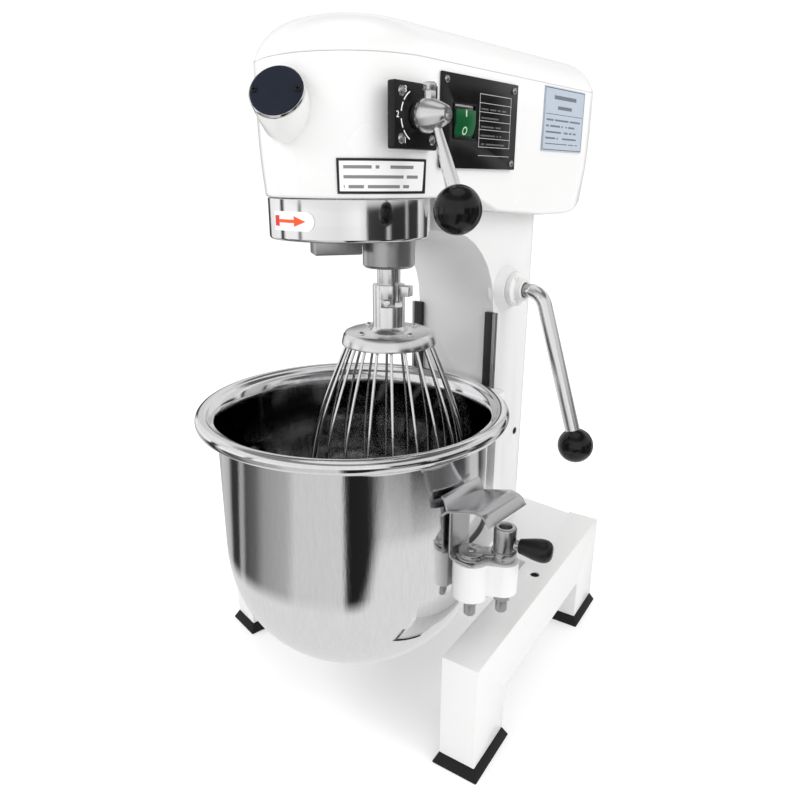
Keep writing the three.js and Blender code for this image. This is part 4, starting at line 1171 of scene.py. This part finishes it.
def knob():
    place = (PLATE_X, *KNOB)
    cone = turned("selector_hub_turned", [
        (0, 0.8), (10.6, 0.8), (11.4, 2.6), (13.2, 5.6), (13.9, 9), (13.7, 13), (12.8, 17.5), (10.8, 23),
        (8.4, 28.4),
        (6.6, 31.8), (5.4, 32.8), (3.8, 32.8), (3.4, 30), (0, 30)], 64, place, (0, 90, 0))
    shaft = turned("selector_shaft", [(0, -33), (6, -33), (6, 2), (0, 2)], 32, place, (0, 90, 0))
    boss = turned("selector_collar", [(0, 9), (5.2, 9), (5.2, 18.4), (0, 18.4)], 32, (PLATE_X + 13, *KNOB))
    nut = turned("selector_set_screw", [(0, 18.2), (5.7, 18.2), (6.1, 19), (6.1, 24.2), (5.4, 25), (0, 25)],
                 6,
                 (PLATE_X + 13, *KNOB))
    smooth(cone, 30)
    return joined(cone, shaft, rounded(boss, 0.3, 2), rounded(nut, 0.4, 2))


settle(knob(), hub_steel, "selector_hub")
handle_path = [at(PLATE_X + 20 + 24.5 * t, KNOB[0], KNOB[1] - 6 - 62 * t) for t in (0, 0.2, 0.45, 0.7, 1)]
settle(smooth(drawn("selector_handle", handle_path, 6.6, 8, widths=(0.55, 0.64, 0.80, 0.92, 1.0))),
       lever_steel,
       "selector_rod")
settle(ball("selector_handle_ball", (PLATE_X + 45, KNOB[0], SELECTOR_BALL_Z), BALL_RADIUS, (-21, 0, 62)),
       black_phenolic, "selector_ball")

# ---- switch panel ----
panel_low, panel_high = node_box("switch_panel")
PANEL_X = 97.7


def panel():
    piece = block("switch_panel_sheet", (panel_low.x, PANEL_X), (panel_low.y, panel_high.y),
                  (panel_low.z, panel_high.z))
    cut_by(piece, block("panel_opening", (90, 105), (37.8, 69.2), (622.8, 651.2)))
    return rounded(piece, 0.6, 2)


settle(panel(), panel_print(), "switch_panel")
for i, (y, z) in enumerate(((26, 602), (26, 670), (136, 602), (136, 670))):
    settle(screw(f"panel_screw_{i}", (PANEL_X, y, z), 3.3, 1.9, (0, 90, 0)), screw_steel,
           beside="switch_panel",
           made_as="selector_hub")
settle(softened("switch_rocker", "switch_rocker_moulded", 0.7, 3), rocker_print(), "switch_rocker")
bezel = block("switch_bezel", (97, 98.6), (36.6, 70.4), (621.6, 652.4))
cut_by(bezel, block("bezel_opening", (90, 105), (38, 69), (623, 651)))
settle(rounded(bezel, 0.5, 2), black_plate, beside="switch_panel")
settle(softened("rating_label", "rating_sheet", 0.15, 1), rating_print(), "rating_label")

# ---- inner parts that stay as they are ----
for node in ("ring_gear", "agitator_pinion", "main_gear", "layshaft", "motor_shaft", "lift_bar",
             "lift_shaft"):
    keep(node, machined_steel)
keep("layshaft_pulley", cast_aluminium)
keep("drive_belt", belt_rubber)
keep("motor", motor_enamel)


# ---- studio ----
# What metal reflects at each bearing round the mixer, as (degrees from +X, brightness): a bright room with
# dark gaps. NEAR_CARDS lie on the floor round it, where the bowl looks, and FAR_CARDS stand where the drum and
# the levers look. The softboxes themselves don't show in reflections.
NEAR_CARDS = ((-180, 0.6), (-166, 0.5), (-159, 0.04), (-149, 0.04), (-146, 0.42), (-141, 0.36), (-139, 0.08),
              (-127, 0.14), (-118, 0.34), (-97, 0.46), (-90, 0.68), (-55, 0.70), (-52, 0.08), (-50, 0.015),
              (-36, 0.02), (-32, 0.08), (-26, 0.14), (-23, 0.34), (-14, 0.28), (-5, 0.24), (-2, 0.03),
              (10, 0.015), (18, 0.10), (34, 0.30), (38, 0.06), (50, 0.08), (60, 0.6), (72, 0.6), (76, 0.03),
              (106, 0.6), (140, 0.06), (180, 0.6))
FAR_CARDS = ((-180, 0.9), (-158, 1.0), (-156, 0.06), (-150, 0.06), (-147, 1.0), (-122, 1.0), (-120, 0.25),
             (-116, 0.25), (-114, 1.0), (-60, 0.85), (-34, 1.0), (-24, 0.8), (-21, 0.05), (4, 0.03), (7, 0.5),
             (10, 0.5), (13, 0.03), (36, 0.03), (39, 0.5), (44, 0.03), (62, 0.04), (66, 0.8), (78, 0.5),
             (82, 0.05), (100, 0.05), (106, 0.6), (134, 0.5), (140, 0.05), (165, 0.05), (170, 0.9),
             (180, 0.9))
OVERHEAD = ((0.0, 0.0), (0.06, 0.0), (0.16, 0.8), (0.62, 0.85), (0.72, 0.15), (0.9, 0.1), (0.95, 0.8),
            (1.0, 0.8))


def card_brightness(look, cards, x, y):
    stops = [(angle / 360 + 0.5, shade) for angle, shade in cards]
    return look.add("ShaderNodeValToRGB", {"stops": stops}, {0: y.turn(x) / (2 * math.pi) + 0.5})


def eased(look, value, low, high):
    return look.add("ShaderNodeMapRange", {"interpolation_type": "SMOOTHSTEP"}, {
        "Value": value, "From Min": low, "From Max": high})


def studio_floor():
    """A pale floor. Metal sees the cards in it, paler close in. The eye sees plain white with soft shadows."""
    bpy.ops.object.select_all(action="DESELECT")
    bpy.ops.mesh.primitive_plane_add(size=24, location=(0, 0, 0))
    floor = added("studio_floor")
    look = material("studio_floor_white", Roughness=0.8, Metallic=0.0, Emission_Color=colour(1),
                    Emission_Strength=0.16)
    set_shader(look, Base_Color=look.blend(look.noise(2, 2), colour(0.90), colour(0.92)))
    coordinates = look.add("ShaderNodeTexCoord", output="Object")
    parts = look.add("ShaderNodeSeparateXYZ", None, {0: coordinates}).socket.node.outputs
    x, y = Value(look, parts[0]), Value(look, parts[1]) - AXIS_Y
    away = (x * x + y * y).root()
    right = eased(look, x * 0.75 + y * 0.66, 0.0, 0.25)
    pale_to = right * 0.30 + 0.42
    close = eased(look, away / pale_to, 0.75, 1.0)
    near = look.blend(close, colour(0.80), card_brightness(look, NEAR_CARDS, x, y))
    seen = look.blend(eased(look, away, 1.6, 3.0), near, card_brightness(look, FAR_CARDS, x, y))
    cards = look.add("ShaderNodeEmission", None, {"Color": seen, "Strength": 1.0})
    path = look.add("ShaderNodeLightPath").socket.node.outputs
    mixed = look.add("ShaderNodeMixShader", None, {0: Value(look, path["Is Glossy Ray"]),
                                                   1: Value(look, look.shader.outputs[0]), 2: cards})
    look.feed(look.tree.nodes["Material Output"].inputs["Surface"], mixed)
    floor.data.materials.append(look.material)


def studio_world():
    """Even white light. Metal sees the cards low down, a pale sky above them and a dark ceiling."""
    world = bpy.data.worlds.new("studio_world")
    bpy.context.scene.world = world
    world.use_nodes = True
    sky = Look(world.node_tree)
    world.node_tree.nodes.clear()
    direction = sky.add("ShaderNodeTexCoord", output="Generated")
    parts = sky.add("ShaderNodeSeparateXYZ", None, {0: direction}).socket.node.outputs
    x, y, z = (Value(sky, part) for part in parts)
    above = sky.add("ShaderNodeValToRGB", {"stops": OVERHEAD}, {0: z})
    rise = eased(sky, z, 0.10, 0.22)
    cards = card_brightness(sky, FAR_CARDS, x, y)
    reflected = sky.blend(rise, cards, sky.blend(0.82, cards, above))
    path = sky.add("ShaderNodeLightPath").socket.node.outputs
    shade = sky.blend(Value(sky, path["Is Glossy Ray"]), colour(1.0), reflected)
    background = sky.add("ShaderNodeBackground", None, {"Color": shade, "Strength": 1.04})
    output = sky.tree.nodes.new("ShaderNodeOutputWorld")
    sky.feed(output.inputs["Surface"], background)


def lamp(name, place, aim, size, power):
    bpy.ops.object.light_add(type="AREA", location=place)
    light = added(name)
    light.data.shape = "RECTANGLE"
    light.data.size, light.data.size_y = size
    light.data.energy = power
    light.rotation_euler = (Vector(aim) - Vector(place)).to_track_quat("-Z", "Y").to_euler()
    light.visible_glossy = False
    return light


studio_floor()
studio_world()
lamp("key_softbox", (-1.3, -1.6, 1.9), (0, 0, 0.35), (1.2, 1.2), 20)
lamp("side_softbox", (2.2, 0.2, 1.5), (0, 0, 0.4), (0.8, 1.4), 14)
bpy.context.scene.view_settings.view_transform = "Standard"
bpy.context.scene.view_settings.look = "None"
